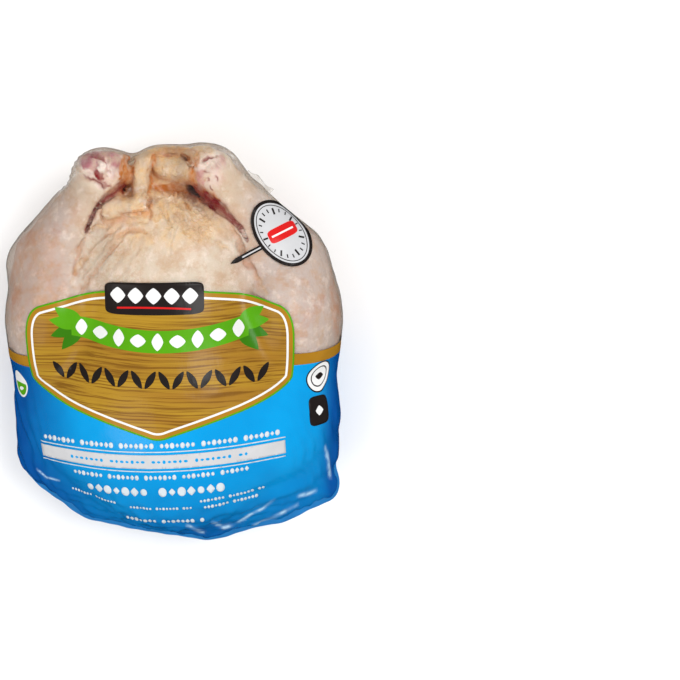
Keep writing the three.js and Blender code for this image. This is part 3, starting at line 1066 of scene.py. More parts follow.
def give_wall(piece, wall):
    """Thickens a sheet inwards and keeps the result as its mesh."""
    modifier = piece.modifiers.new("wall", "SOLIDIFY")
    modifier.thickness = wall
    modifier.offset = -1.0
    keep_result(piece)


def keep_result(piece):
    """Makes a piece's modifiers part of its mesh."""
    evaluated = piece.evaluated_get(bpy.context.evaluated_depsgraph_get())
    mesh = bpy.data.meshes.new_from_object(evaluated)
    piece.modifiers.clear()
    piece.data = mesh
    mesh.name = piece.name


class CHICKEN_OT_film(bpy.types.Operator):
    """Make the shrink film: clear over the legs, a gold band, and blue print round the neck end"""
    bl_idname = "chicken.film"
    bl_label = "Film"

    def execute(self, context):
        settings = context.scene.chicken_film
        colours = context.scene.chicken_print
        points, quads = wrap(film_form, *form_box(), settings.grid / MM)
        points = settle(film_form, points)
        normal = outward_at(film_form, points)
        lying = fade(points[:, 2], 0.5, 6.0)
        points = points + normal * (film_relief(points) * lying)[:, None]
        points[:, 2] = np.maximum(points[:, 2], 0)
        whole = new_mesh("film_whole", points, quads, [])
        set_attribute(whole, "crumple", crumple_of(points))
        set_attribute(whole, "crest_highlight", crest_highlight_of(points))
        BUILT["film"] = BVHTree.FromPolygons(to_frame(points).tolist(), quads.tolist())
        # The warm, dark edge colour of the clear film is painted shade for the bird's sides that turn away
        # from the light
        finish = film_finish("clear_film", (0.74, 0.67, 0.60), 0.05)
        clear = cut_piece("film_clear", whole, finish, above=0.0)
        gold = ink_finish("gold_ink", colours.gold, 0.12)
        below = -settings.band_width
        band = cut_piece("film_band", whole, gold, below, 0.0, settings.wall)
        blue = cut_piece("film_printed", whole, blue_finish(colours), None, below, settings.wall)
        bpy.data.objects.remove(whole)
        hand_over(clear)
        hand_over(band)
        hand_over(blue)
        return {"FINISHED"}


# The seal

SEAL_CENTRE = np.array([0.0, -20.0, HEM_LEVEL * HEIGHT])
SEAL_BEARINGS = (212.0, 329.5)
SEAL_POINTS = 150
SEAL_RIPPLES = 7.0
SEAL_RIPPLE = 0.6 * MM
SEAL_THICKNESS = 0.4 * MM


def film_outline(first, last, count):
    """Points of the form's outline at the level of the seal, between two bearings."""
    bearings = np.radians(np.linspace(first, last, count))
    direction = np.stack([np.cos(bearings), np.sin(bearings), np.zeros(count)], 1)
    reach = np.full(count, float(LENGTH))
    for _ in range(90):
        reach -= 0.7 * film_form(SEAL_CENTRE + direction * reach[:, None])
    return SEAL_CENTRE + direction * reach[:, None]


def seal_nodes(material):
    """Geometry nodes that run a thin rippled strip along the seam's path."""
    tree = bpy.data.node_groups.new("rippled_seal", "GeometryNodeTree")
    face = tree.interface
    face.new_socket("Geometry", in_out="INPUT", socket_type="NodeSocketGeometry")
    inputs = {}
    for name, value in (("Width", 0.008), ("Thickness", 0.0004), ("Ripple", 0.0012), ("Ripples", 7.0)):
        socket = face.new_socket(name, in_out="INPUT", socket_type="NodeSocketFloat")
        socket.default_value = value
        inputs[name] = socket.identifier
    face.new_socket("Geometry", in_out="OUTPUT", socket_type="NodeSocketGeometry")
    nodes, links = tree.nodes, tree.links
    start = nodes.new("NodeGroupInput")
    end = nodes.new("NodeGroupOutput")

    def math_node(operation, a, b):
        node = nodes.new("ShaderNodeMath")
        node.operation = operation
        for socket, value in zip(node.inputs, (a, b)):
            if isinstance(value, bpy.types.NodeSocket):
                links.new(value, socket)
            else:
                socket.default_value = value
        return node.outputs[0]

    to_curve = nodes.new("GeometryNodeMeshToCurve")
    links.new(start.outputs["Geometry"], to_curve.inputs[0])
    share = nodes.new("GeometryNodeSplineParameter").outputs["Factor"]
    turns = math_node("MULTIPLY", math_node("MULTIPLY", share, start.outputs["Ripples"]), 2 * math.pi)
    wave = math_node("ADD", math_node("SINE", turns, 0.0),
                     math_node("MULTIPLY", math_node("SINE", math_node("MULTIPLY", turns, 2.7), 0.0), 0.6))
    lift = nodes.new("ShaderNodeCombineXYZ")
    links.new(math_node("MULTIPLY", wave, start.outputs["Ripple"]), lift.inputs["Z"])
    moved = nodes.new("GeometryNodeSetPosition")
    links.new(to_curve.outputs[0], moved.inputs["Geometry"])
    links.new(lift.outputs[0], moved.inputs["Offset"])
    upright = nodes.new("GeometryNodeSetCurveNormal")
    upright.mode = "Z_UP"
    links.new(moved.outputs[0], upright.inputs["Curve"])
    section = nodes.new("GeometryNodeCurvePrimitiveQuadrilateral")
    links.new(start.outputs["Width"], section.inputs["Width"])
    links.new(start.outputs["Thickness"], section.inputs["Height"])
    sweep = nodes.new("GeometryNodeCurveToMesh")
    sweep.inputs["Fill Caps"].default_value = True
    links.new(upright.outputs[0], sweep.inputs["Curve"])
    links.new(section.outputs[0], sweep.inputs["Profile Curve"])
    realized = nodes.new("GeometryNodeRealizeInstances")
    links.new(sweep.outputs[0], realized.inputs[0])
    finish = nodes.new("GeometryNodeSetMaterial")
    finish.inputs["Material"].default_value = material
    links.new(realized.outputs[0], finish.inputs["Geometry"])
    links.new(finish.outputs[0], end.inputs[0])
    return tree, inputs


def run_nodes(piece, tree, values):
    """Runs a node group on a piece with its inputs set, and keeps the result."""
    modifier = piece.modifiers.new(tree.name, "NODES")
    modifier.node_group = tree
    for identifier, value in values.items():
        modifier[identifier] = value
    keep_result(piece)


class CHICKEN_OT_seal(bpy.types.Operator):
    """Make the bag's seal: a thin rippled strip of film across the neck end"""
    bl_idname = "chicken.seal"
    bl_label = "Seal"

    def execute(self, context):
        settings = context.scene.chicken_film
        colours = context.scene.chicken_print
        path = film_outline(*SEAL_BEARINGS, SEAL_POINTS)
        outward = path - path.mean(0) * [1, 0, 1] - SEAL_CENTRE * [0, 1, 0]
        outward[:, 2] = 0
        outward /= np.linalg.norm(outward, axis=1)[:, None]
        width = 2.6 * settings.seal_width
        share = np.linspace(0, 1, SEAL_POINTS)
        stand = settings.seal_width * fade(np.minimum(share, 1 - share), -0.02, 0.12)
        path += outward * ((stand - width / 2) / MM)[:, None]
        seam = bpy.data.objects.new("seal", bpy.data.meshes.new("seal"))
        steps = [(i, i + 1) for i in range(SEAL_POINTS - 1)]
        seam.data.from_pydata(to_frame(path).tolist(), steps, [])
        context.scene.collection.objects.link(seam)
        tree, inputs = seal_nodes(ink_finish("seal_ink", colours.seam_blue, 0.2))
        run_nodes(seam, tree, {inputs["Width"]: width, inputs["Ripple"]: SEAL_RIPPLE,
                               inputs["Ripples"]: SEAL_RIPPLES, inputs["Thickness"]: SEAL_THICKNESS})
        hand_over(seam)
        return {"FINISHED"}


# The gathered end of the bag

TAB_WALL = 0.12 * MM


class CHICKEN_OT_gathered_end(bpy.types.Operator):
    """Make the gathered end of the bag: a small crumpled tab of clear film beside the right drumstick"""
    bl_idname = "chicken.gathered_end"
    bl_label = "Gathered end"

    def execute(self, context):
        root = place(1, 0.55, 0.79, 0.585)
        across = np.array([0.752, -0.659, 0.0])
        away = np.array([0.579, 0.660, 0.479])
        rise = np.cross(across, away)
        half_width, tucked, length = 8.8, 9.0, 4.6
        columns, rows = 64, 30
        points = []
        for j in range(rows):
            v = j / (rows - 1)
            for i in range(columns):
                u = i / (columns - 1) * 2 - 1
                end = length + 1.0 * math.cos(5.2 * u + 0.9)
                reach = -tucked + (tucked + end) * v
                pleat = 0.6 * math.sin(6.5 * u + 2.0 * v) + 0.15 * v * math.sin(11 * u - 4 * v)
                points.append(root + across * half_width * u + away * reach + rise * pleat)
        faces = [(j * columns + i, j * columns + i + 1, (j + 1) * columns + i + 1, (j + 1) * columns + i)
                 for j in range(rows - 1) for i in range(columns - 1)]
        tab = new_mesh("gathered_end", points, faces, [film_finish("tab_film", (0.86, 0.85, 0.83), 0.12)])
        set_attribute(tab, "crumple", np.full(len(points), 0.8))
        give_wall(tab, TAB_WALL)
        hand_over(tab)
        return {"FINISHED"}


# Print on the film

INK_WALL = 0.1 * MM
PRESS_FROM = 150.0
TURNED_AWAY = 0.12


def oval(centre, reach, turn=0.0, power=2.0, count=72):
    """A closed outline from an ellipse to a rounded box, as the power grows."""
    angles = np.linspace(0, 2 * math.pi, count, endpoint=False)
    c, s = np.cos(angles), np.sin(angles)
    x = reach[0] * np.sign(c) * np.abs(c) ** (2 / power)
    y = reach[1] * np.sign(s) * np.abs(s) ** (2 / power)
    turn = math.radians(turn)
    return np.stack([centre[0] + x * math.cos(turn) - y * math.sin(turn),
                     centre[1] + x * math.sin(turn) + y * math.cos(turn)], 1)


def strip(start, end, width, bow=0.0, pieces=40):
    """A closed outline of a strip between two points, bowed sideways by that much at its middle."""
    start, end = np.asarray(start, float), np.asarray(end, float)
    along = end - start
    side = np.array([-along[1], along[0]]) / np.linalg.norm(along)
    share = np.linspace(0, 1, pieces + 1)
    spine = start + share[:, None] * along + (4 * share * (1 - share) * bow)[:, None] * side
    return np.concatenate([spine - side * width / 2, (spine + side * width / 2)[::-1]])


def leaf(base, length, width, turn):
    """A closed outline of a pointed leaf from its base."""
    share = np.linspace(0, 1, 13)
    half = width / 2 * np.sin(math.pi * share) ** 0.8 * (1.15 - 0.5 * share)
    upper = np.stack([share * length, half], 1)
    edge = np.concatenate([upper, (upper * [1, -1])[-2:0:-1]])
    turn = math.radians(turn)
    spin = np.array([[math.cos(turn), math.sin(turn)], [-math.sin(turn), math.cos(turn)]])
    return np.asarray(base) + edge @ spin


def evenly(outline, spacing=1.5):
    """The same closed outline with points no further apart than the spacing."""
    points = []
    for a, b in zip(outline, np.roll(outline, -1, 0)):
        pieces = max(1, math.ceil(np.linalg.norm(b - a) / spacing))
        points += [a + (b - a) * i / pieces for i in range(pieces)]
    return np.array(points)


def smooth_outline(corners, rounds=3):
    """A closed outline with its corners cut round."""
    outline = np.asarray(corners, float)
    for _ in range(rounds):
        after = np.roll(outline, -1, 0)
        outline = np.stack([0.75 * outline + 0.25 * after, 0.25 * outline + 0.75 * after], 1).reshape(-1, 2)
    return outline


def inset(outline, reach):
    """A closed outline moved inwards."""
    before, after = np.roll(outline, 1, 0), np.roll(outline, -1, 0)
    along = (after - before) / np.linalg.norm(after - before, axis=1)[:, None]
    return outline + reach * np.stack([-along[:, 1], along[:, 0]], 1)


def inside_outline(points, outline):
    """Which points lie inside a closed outline."""
    inside = np.zeros(len(points), bool)
    x, y = points[:, 0], points[:, 1]
    for a, b in zip(outline, np.roll(outline, -1, 0)):
        crosses = (a[1] > y) != (b[1] > y)
        rise = b[1] - a[1] if b[1] != a[1] else 1e-9
        inside ^= crosses & (x < (b[0] - a[0]) * (y - a[1]) / rise + a[0])
    return inside


def press(points, facing, lift):
    """The points of the film under those points, against the facing, or the nearest where it turns away."""
    tree = BUILT["film"]
    pressed = []
    for point in points:
        above = Vector(to_frame(point + facing * PRESS_FROM))
        hit, normal, _, _ = tree.ray_cast(above, Vector(-facing))
        if hit is None or normal.dot(Vector(facing)) < TURNED_AWAY:
            hit, normal, _, _ = tree.find_nearest(Vector(to_frame(point)))
        pressed.append(np.array(hit + normal * lift * MM) / MM + MIDDLE)
    return np.array(pressed)


def press_as_seen(spots, origin, facing, lift, most=2.5):
    """The points of the film where the camera sees those spots, found by presses corrected that much at
    most, so that nothing stretches where the film turns away."""
    origin = np.asarray(origin, float)
    centre = as_seen(origin[None])
    shift = np.zeros_like(spots)
    for _ in range(4):
        aim = spots + shift
        offset = aim[:, :1] * [1.0, 0.0, 0.0] + aim[:, 1:] * CAMERA_UP
        offset -= ((offset @ facing) / (CAMERA_BACK @ facing))[:, None] * CAMERA_BACK
        points = press(origin + offset, facing, lift)
        shift = shift + 0.7 * (spots - as_seen(points) + centre)
        shift *= np.minimum(1, most / np.maximum(np.linalg.norm(shift, axis=1), 1e-6))[:, None]
    return points


def lay_print(name, shapes, origin=(0.0, 0.0, 0.0), facing=(0.0, 0.0, 1.0), spacing=1.7, lift=0.16,
              to_camera=False):
    """Lays flat printed shapes on the film. Each is an outline and its material, or None for a bare part,
    and a later one covers those before it; the first bounds the whole. They are pressed onto the film
    against the facing, flat as they are or so that they look so from the camera."""
    facing = np.asarray(facing, float) / np.linalg.norm(facing)
    shapes = [(evenly(outline), material) for outline, material in shapes]
    bounds = shapes[0][0]
    low, high = bounds.min(0), bounds.max(0)
    grid = np.stack(np.meshgrid(np.arange(low[0], high[0], spacing), np.arange(low[1], high[1], spacing)), -1)
    grid = grid.reshape(-1, 2)
    grid = grid[inside_outline(grid, bounds)]
    flat, edges = [], []
    for outline, _ in shapes:
        first = len(flat)
        flat += [Vector(p) for p in outline]
        edges += [(first + i, first + (i + 1) % len(outline)) for i in range(len(outline))]
    flat += [Vector(p) for p in grid]
    made = delaunay_2d_cdt(flat, edges, [], 0, 1e-4)
    spots = np.array(made[0])
    triangles = np.array([list(face) for face in made[2]])
    middle = spots[triangles].mean(1)
    triangles = triangles[inside_outline(middle, bounds)]
    middle = spots[triangles].mean(1)
    ink = np.zeros(len(triangles), int)
    materials = []
    for outline, material in shapes:
        if material and material not in materials:
            materials.append(material)
        ink[inside_outline(middle, outline)] = materials.index(material) if material else -1
    triangles, ink = triangles[ink >= 0], ink[ink >= 0]
    used, triangles = np.unique(triangles, return_inverse=True)
    triangles = triangles.reshape(-1, 3)
    spots = spots[used]
    if to_camera:
        points = press_as_seen(spots, origin, facing, lift)
    else:
        v_axis = np.array([0.0, 1.0, 0.0]) - facing[1] * facing
        v_axis /= np.linalg.norm(v_axis)
        u_axis = np.cross(v_axis, facing)
        points = press(np.asarray(origin) + spots[:, :1] * u_axis + spots[:, 1:] * v_axis, facing, lift)
    corners = points[triangles]
    turned = np.cross(corners[:, 1] - corners[:, 0], corners[:, 2] - corners[:, 0]) @ facing
    triangles[turned < 0] = triangles[turned < 0][:, ::-1]
    piece = new_mesh(name, points, triangles, materials)
    piece.data.polygons.foreach_set("material_index", ink)
    give_wall(piece, INK_WALL)
    hand_over(piece)


class PrintSettings(bpy.types.PropertyGroup):
    blue: FloatVectorProperty(name="Blue", description="The printed field at its brightest", subtype="COLOR",
                              default=(0.0, 0.31, 0.68))
    # The shaded blue is painted shade: the field's blue where less light falls
    shaded_blue: FloatVectorProperty(name="Deep blue", description="The field at its left side and hem",
                                   subtype="COLOR", default=(0.0, 0.07, 0.29))
    seam_blue: FloatVectorProperty(name="Seam blue", description="The seal's blue", subtype="COLOR",
                                   default=(0.02, 0.20, 0.52))
    # Painted highlight colour for the crests of the folds at the hem
    crest_highlight: FloatVectorProperty(name="Highlight", description="Pale crests of the folds at the hem", subtype="COLOR",
                              default=(0.42, 0.62, 0.78))
    gold: FloatVectorProperty(name="Gold", description="The band and the plaque's rim", subtype="COLOR",
                              default=(0.38, 0.18, 0.010))
    green: FloatVectorProperty(name="Green", description="The swag and the plaque's edge", subtype="COLOR",
                               default=(0.085, 0.34, 0.004))
    dark_green: FloatVectorProperty(name="Dark green", description="Shaded leaves", subtype="COLOR",
                                    default=(0.035, 0.18, 0.004))
    white: FloatVectorProperty(name="White", description="Pinstripe and pale shapes", subtype="COLOR",
                               default=(0.76, 0.76, 0.75))
    pale: FloatVectorProperty(name="Pale", description="Small shapes on the blue field", subtype="COLOR",
                              default=(0.60, 0.66, 0.70))
    grey: FloatVectorProperty(name="Grey", description="The pale strip and the dial's face", subtype="COLOR",
                              default=(0.55, 0.55, 0.56))
    dark: FloatVectorProperty(name="Dark", description="The dark bar and rims", subtype="COLOR",
                              default=(0.016, 0.012, 0.011))
    red: FloatVectorProperty(name="Red", description="The dial's bar and the thin line", subtype="COLOR",
                             default=(0.62, 0.01, 0.01))
    wood: FloatVectorProperty(name="Wood", description="Light wood of the plaque", subtype="COLOR",
                              default=(0.39, 0.22, 0.018))
    dark_wood: FloatVectorProperty(name="Dark wood", description="Darker planks", subtype="COLOR",
                                   default=(0.32, 0.155, 0.016))
    grain: FloatVectorProperty(name="Grain", description="Fine lines of the grain", subtype="COLOR",
                               default=(0.17, 0.07, 0.006))


def ring(outer, inner, turn, rim, face):
    """A rim and the face inside it."""
    return [(oval((0, 0), outer, turn), rim), (oval((0, 0), inner, turn), face)]


# The plaque, in millimetres from the middle of the bag
PLAQUE_CORNERS = [
    (-77.5, 27.0), (-60.0, 32.5), (-30.0, 38.5), (-3.0, 40.0), (24.0, 38.5), (54.0, 33.5), (71.5, 27.5),
    (71.5, -3.0), (69.0, -19.0), (8.0, -38.0), (-3.0, -42.5), (-14.0, -38.4), (-76.0, -21.0), (-77.5, -3.0),
]
PLAQUE_SHEET = ((-81, 1.5), (75, 1.5), 86.0)
SWAG_LEFT, SWAG_RIGHT, SWAG_LEVEL = -52, 46, 18.5
SWAG_WIDTH, SWAG_BOW = 11.5, 6.5
SWAG_LOZENGES = 9
GRAINS = 16
GRAINS_LEFT, GRAINS_RIGHT, GRAINS_LEVEL, GRAINS_BOW = -60, 54, -7.0, 1.0
BAR_CENTRE = (-5.5, 34.5)
BAR_LOZENGES = 5


class CHICKEN_OT_plaque(bpy.types.Operator):
    """Lay the wood-look plaque on the breast, with its edges, a green swag, grains and a dark bar"""
    bl_idname = "chicken.plaque"
    bl_label = "Plaque"

    def execute(self, context):
        colours = context.scene.chicken_print
        green = ink_finish("green_ink", colours.green)
        dark_green = ink_finish("dark_green_ink", colours.dark_green)
        gold = ink_finish("plaque_gold_ink", colours.gold, 0.12)
        white = ink_finish("white_ink", colours.white)
        dark = ink_finish("dark_ink", colours.dark)
        red = ink_finish("red_ink", colours.red)
        rims = ((0.0, green), (1.0, gold), (3.2, white), (4.4, wood_finish(colours)))
        edge = evenly(smooth_outline(PLAQUE_CORNERS))[::-1]
        shapes = [(strip(*PLAQUE_SHEET, 0.0, 60), None)]
        shapes += [(inset(edge, reach), material) for reach, material in rims]
        shapes += self.swag(green, dark_green, white)
        shapes += self.grains(dark)
        shapes += self.bar(dark, white, red)
        lay_print("plaque", shapes)
        return {"FINISHED"}

    def swag(self, green, dark_green, white):
        """A bowed green strip between two sprigs of leaves, with lozenges along it."""
        shapes = []
        for side, end in ((-1, SWAG_LEFT), (1, SWAG_RIGHT)):
            for turn in (-50, -18, 12, 36):
                heading = turn if side > 0 else 180 - turn
                shade = dark_green if turn < 0 else green
                shapes.append((leaf((end - side * 6, SWAG_LEVEL), 18.0, 8.6, heading), shade))
        left, right = (SWAG_LEFT, SWAG_LEVEL), (SWAG_RIGHT, SWAG_LEVEL)
        shapes.append((strip(left, right, SWAG_WIDTH, -SWAG_BOW, 60), green))
        for i in range(SWAG_LOZENGES):
            share = (i + 0.5) / SWAG_LOZENGES
            drop = 4 * SWAG_BOW * share * (1 - share)
            spot = (SWAG_LEFT + (SWAG_RIGHT - SWAG_LEFT) * share, SWAG_LEVEL - drop)
            reach = (4.4, 3.3) if i % 2 else (3.2, 4.5)
            shapes.append((oval(spot, reach, 0, 1.4, 32), white))
        return shapes

    def grains(self, dark):
        """A row of grains that lean left and right in turn."""
        shapes = []
        for i in range(GRAINS):
            share = i / (GRAINS - 1)
            drop = 4 * GRAINS_BOW * share * (1 - share)
            spot = (GRAINS_LEFT + (GRAINS_RIGHT - GRAINS_LEFT) * share, GRAINS_LEVEL - drop)
            shapes.append((oval(spot, (5.6, 2.0), 58 if i % 2 else 122, 1.5, 32), dark))
        return shapes

    def bar(self, dark, white, red):
        """The dark bar with a row of lozenges over a red line."""
        shapes = [(oval(BAR_CENTRE, (27.5, 8.8), 1.0, 9.0, 80), dark)]
        for i in range(BAR_LOZENGES):
            shapes.append((oval((-25.5 + 10 * i, 36.0), (4.3, 4.4), 0, 1.3, 32), white))
        shapes.append((strip((-26, 28.9), (15, 28.9), 1.0, 0.8), red))
        return shapes


# The rows of small shapes on the blue field: name, start, end, how many and the reach of each
ROWS = (
    ("row_1", (-71, -47.5), (66, -41.5), 48, (1.25, 1.7)),
    ("row_2", (-54, -66.5), (46, -61.0), 38, (1.1, 1.6)),
    ("row_3", (-47, -75.5), (38, -71.0), 16, (2.3, 3.0)),
    ("row_4", (-26, -96.0), (20, -94.0), 17, (1.15, 1.6)),
    ("row_5", (18, -80.0), (54, -77.0), 18, (0.85, 1.2)),
    ("row_6", (20, -84.5), (50, -82.5), 15, (0.85, 1.2)),
    ("row_7", (-58, -82.0), (-28, -84.5), 16, (0.75, 1.0)),
    ("row_8", (-22, -85.5), (14, -84.0), 19, (0.75, 1.0)),
)
GROUP = 8
BAND_LEFT = (-73, -57.0)
BAND_RIGHT = (66, -51.0)


class CHICKEN_OT_field_marks(bpy.types.Operator):
    """Lay the pale strip with its thin lines and the rows of small shapes on the blue field"""
    bl_idname = "chicken.field_marks"
    bl_label = "Field marks"

    def execute(self, context):
        colours = context.scene.chicken_print
        grey = ink_finish("grey_ink", colours.grey)
        pale = ink_finish("pale_ink", colours.pale)
        blue = ink_finish("strip_blue_ink", colours.blue)
        band = [(strip(BAND_LEFT, BAND_RIGHT, 8.2, 0.0, 90), grey)]
        band += self.row((-55, -56.4), (46, -51.8), 34, (1.1, 0.8), blue)
        lay_print("pale_strip", band)
        for name, shift in (("line_above", 5.9), ("line_below", -5.9)):
            left, right = ((x, y + shift) for x, y in (BAND_LEFT, BAND_RIGHT))
            lay_print(name, [(strip(left, right, 0.6, 0.0, 90), pale)])
        for name, start, end, count, reach in ROWS:
            bounds = strip(start, end, 2.6 * reach[1], 0, 90)
            lay_print(name, [(bounds, None)] + self.row(start, end, count, reach, pale), spacing=1.5)
        return {"FINISHED"}

    def row(self, start, end, count, reach, material):
        """Lozenges and dots along a line, with a gap after each group."""
        start, end = np.array(start, float), np.array(end, float)
        shapes = []
        for i in range(count):
            if i % GROUP == GROUP - 1:
                continue
            spot = start + (end - start) * (i + 0.5) / count
            size = reach if i % 3 else (reach[0] * 0.8, reach[0])
            shapes.append((oval(spot, size, 0, 1.2 if i % 2 else 2.0, 20), material))
        return shapes


# Where the small marks lie on the film
ROUNDEL_RIGHT = (85.5, -14.0, 79.1)
ROUNDEL_LEFT = (-85.2, -21.1, 66.0)
BADGE_RIGHT = (84.7, -33.5, 80.5)
DIAL = (64.4, 68.2, 83.4)
DIAL_TURN = -51.0
DIAL_LONG = 21.6
DIAL_SHORT = 14.6
DIAL_TICKS = 21


class CHICKEN_OT_badges(bpy.types.Operator):
    """Lay the roundels and the badge at the sides, and the oval dial on the right drumstick"""
    bl_idname = "chicken.badges"
    bl_label = "Badges"

    def execute(self, context):
        colours = context.scene.chicken_print
        white = ink_finish("badge_white_ink", colours.white)
        dark = ink_finish("badge_dark_ink", colours.dark)
        green = ink_finish("badge_green_ink", colours.green)
        red = ink_finish("badge_red_ink", colours.red)
        face = ink_finish("dial_face_ink", colours.grey)
        self.roundel("roundel_right", ROUNDEL_RIGHT, 9.6, dark, white, None)
        self.roundel("roundel_left", ROUNDEL_LEFT, 8.0, white, white, green)
        self.badge("badge_right", BADGE_RIGHT, dark, white)
        facing = self.facing_at(DIAL) + 0.2 * CAMERA_BACK
        self.stem(facing, dark, face)
        self.dial(facing, dark, white, face, red)
        return {"FINISHED"}

    def facing_at(self, spot):
        return outward_at(film_form, np.array([spot]))[0]

    def roundel(self, name, spot, reach, rim, face, lower):
        """A ring with a lozenge in it, or with a coloured lower half that carries a leaf."""
        shapes = ring((reach, reach), (reach - 0.8, reach - 0.8), 0, rim, face)
        if lower:
            half = oval((0, 0), (reach - 1.2, reach - 1.2))
            half[:, 1] = np.minimum(half[:, 1], 0.6)
            shapes.append((half, lower))
            shapes.append((leaf((-reach * 0.4, -reach * 0.45), reach * 0.8, reach * 0.3, 12), face))
        else:
            shapes += ring((reach * 0.68,) * 2, (reach * 0.6,) * 2, 0, rim, face)
            shapes.append((oval((0, 0), (reach * 0.34, reach * 0.24), 0, 1.3), rim))
        lay_print(name, shapes, spot, self.facing_at(spot), 1.4)

    def badge(self, name, spot, rim, mark):
        shapes = [(oval((0, 0), (7.9, 8.4), 0, 4.5), rim), (oval((0, 0), (2.9, 2.9), 0, 1.2), mark)]
        lay_print(name, shapes, spot, self.facing_at(spot), 1.4)

    def stem(self, facing, dark, face):
        """The dial's pointed stem with a thin pale line along it."""
        shapes = [
            (strip((-7.0, -5.2), (-28.0, -18.0), 5.0), None),
            (strip((-8.0, -5.8), (-23.5, -15.2), 2.9, 0, 8), dark),
            (leaf((-20.0, -13.1), 7.5, 2.9, 211), dark),
            (strip((-8.0, -5.8), (-20.4, -13.4), 0.8, 0, 8), face),
        ]
        lay_print("dial_stem", shapes, DIAL, facing, 1.3, to_camera=True)

    def dial(self, facing, dark, white, face, red):
        """An oval dial with a double rim, ticks and a red bar."""
        shapes = []
        for rim, inner in ((0.0, 1.9), (2.9, 3.4)):
            shapes += ring((DIAL_LONG - rim, DIAL_SHORT - rim), (DIAL_LONG - inner, DIAL_SHORT - inner),
                           DIAL_TURN, dark, face)
        near, middle, far = (
            oval((0, 0), (share * DIAL_LONG, share * DIAL_SHORT), DIAL_TURN, count=DIAL_TICKS)
            for share in (0.56, 0.64, 0.75))
        for i in range(DIAL_TICKS):
            start, width = (near[i], 1.1) if i % 3 == 0 else (middle[i], 0.7)
            shapes.append((strip(start, far[i], width, 0, 2), dark))
        shapes.append((oval((0.4, 0.6), (8.6, 4.1), 27.0, 5.0), red))
        shapes.append((strip((-5.6, -2.4), (6.4, 3.6), 1.1, 0, 8), white))
        lay_print("dial", shapes, DIAL, facing, 1.3, 0.2, to_camera=True)


# The stage

KEY_SPOT = (0.75, 0.55, 1.7)
KEY_SIZE = 0.9
FILL_SPOT = (-1.0, -0.6, 1.5)
FILL_SIZE = 1.2
FLOOR_REACH = 4.0


class StageSettings(bpy.types.PropertyGroup):
    key: FloatProperty(name="Key", description="Power of the key light", default=16.7, unit="POWER")
    fill: FloatProperty(name="Fill", description="Power of the fill light", default=9.0, unit="POWER")
    sky: FloatProperty(name="Sky", description="Strength of the surrounding light", default=0.88)
    floor: FloatVectorProperty(name="Floor", description="The floor's colour", subtype="COLOR",
                               default=(0.93, 0.93, 0.93))


def soft_light(name, spot, size, power, aim=(0.0, 0.0, 0.05)):
    data = bpy.data.lights.new(name, "AREA")
    data.shape = "DISK"
    data.size = size
    data.energy = power
    light = bpy.data.objects.new(name, data)
    light.location = spot
    light.rotation_euler = (Vector(aim) - Vector(spot)).to_track_quat("-Z", "Y").to_euler()
    bpy.context.scene.collection.objects.link(light)


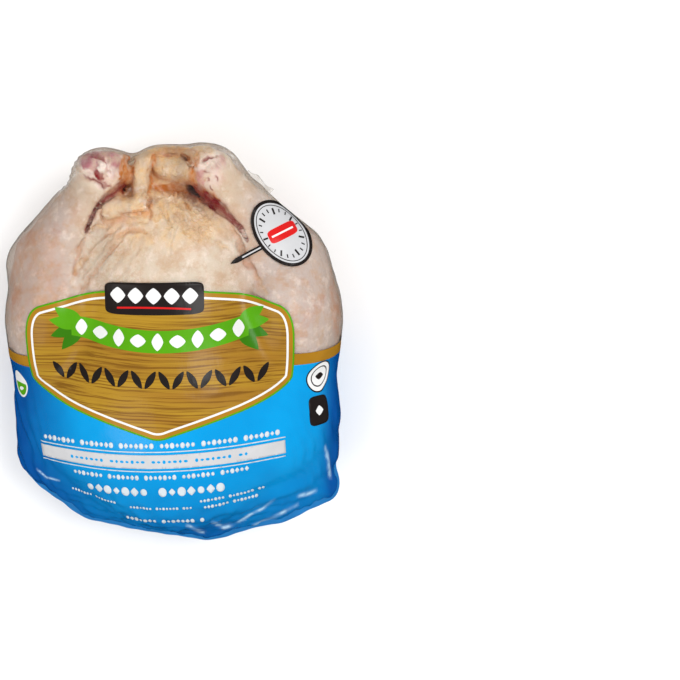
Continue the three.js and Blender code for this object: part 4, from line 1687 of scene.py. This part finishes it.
class CHICKEN_OT_stage(bpy.types.Operator):
    """Set the floor, the lights and the camera"""
    bl_idname = "chicken.stage"
    bl_label = "Stage"

    def execute(self, context):
        settings = context.scene.chicken_stage
        scene = context.scene
        mesh = bpy.data.meshes.new("floor")
        corners = [(x * FLOOR_REACH, y * FLOOR_REACH, 0) for x, y in ((-1, -1), (1, -1), (1, 1), (-1, 1))]
        mesh.from_pydata(corners, [], [(0, 1, 2, 3)])
        finish = Finish("floor")
        paint = finish.principled(Base_Color=opaque(settings.floor), Roughness=0.8)
        mesh.materials.append(finish.close(paint))
        floor = bpy.data.objects.new("floor", mesh)
        floor.visible_glossy = False
        scene.collection.objects.link(floor)
        floor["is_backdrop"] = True

        world = bpy.data.worlds.new("studio")
        world.use_nodes = True
        sky = world.node_tree.nodes["Background"]
        sky.inputs[0].default_value = (1, 1, 1, 1)
        sky.inputs[1].default_value = settings.sky
        world.cycles_visibility.glossy = False
        scene.world = world
        soft_light("key", KEY_SPOT, KEY_SIZE, settings.key)
        soft_light("fill", FILL_SPOT, FILL_SIZE, settings.fill)

        camera = bpy.data.objects.new("camera", bpy.data.cameras.new("camera"))
        camera.data.lens = CAMERA_LENS
        camera.data.sensor_width = 36.0
        camera.data.clip_start = 0.01
        turned = Matrix((Vector((1, 0, 0)), Vector(CAMERA_UP), Vector(CAMERA_BACK))).transposed().to_4x4()
        camera.matrix_world = Matrix.Translation(Vector(to_frame(CAMERA_EYE))) @ turned
        scene.collection.objects.link(camera)
        scene.camera = camera
        scene.view_settings.view_transform = "Standard"
        return {"FINISHED"}


OPERATORS = (
    CHICKEN_OT_stage,
    CHICKEN_OT_bird,
    CHICKEN_OT_film,
    CHICKEN_OT_seal,
    CHICKEN_OT_gathered_end,
    CHICKEN_OT_plaque,
    CHICKEN_OT_field_marks,
    CHICKEN_OT_badges,
)
SETTINGS = {
    "chicken_bird": BirdSettings,
    "chicken_film": FilmSettings,
    "chicken_print": PrintSettings,
    "chicken_stage": StageSettings,
}


class CHICKEN_PT_panel(bpy.types.Panel):
    """Lists the settings and the steps in order"""
    bl_label = "Bagged chicken"
    bl_idname = "CHICKEN_PT_panel"
    bl_space_type = "VIEW_3D"
    bl_region_type = "UI"
    bl_category = "Chicken"

    def draw(self, context):
        for operator in OPERATORS:
            self.layout.operator(operator.bl_idname)
        for name, group in SETTINGS.items():
            settings = getattr(context.scene, name)
            box = self.layout.box()
            for key in group.__annotations__:
                box.prop(settings, key)


def register():
    for group in SETTINGS.values():
        bpy.utils.register_class(group)
    for name, group in SETTINGS.items():
        setattr(bpy.types.Scene, name, PointerProperty(type=group))
    for operator in OPERATORS:
        bpy.utils.register_class(operator)
    bpy.utils.register_class(CHICKEN_PT_panel)


def unregister():
    bpy.utils.unregister_class(CHICKEN_PT_panel)
    for operator in reversed(OPERATORS):
        bpy.utils.unregister_class(operator)
    for name, group in SETTINGS.items():
        delattr(bpy.types.Scene, name)
        bpy.utils.unregister_class(group)


def main():
    register()
    bpy.ops.chicken.stage()
    bpy.ops.chicken.bird()
    bpy.ops.chicken.film()
    bpy.ops.chicken.seal()
    bpy.ops.chicken.gathered_end()
    bpy.ops.chicken.plaque()
    bpy.ops.chicken.field_marks()
    bpy.ops.chicken.badges()
    boxes = {"cad": CAD_BOX, "visual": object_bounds()}
    {name: [list(corner) for corner in box] for name, box in boxes.items()}


if __name__ == "__main__":
    main()
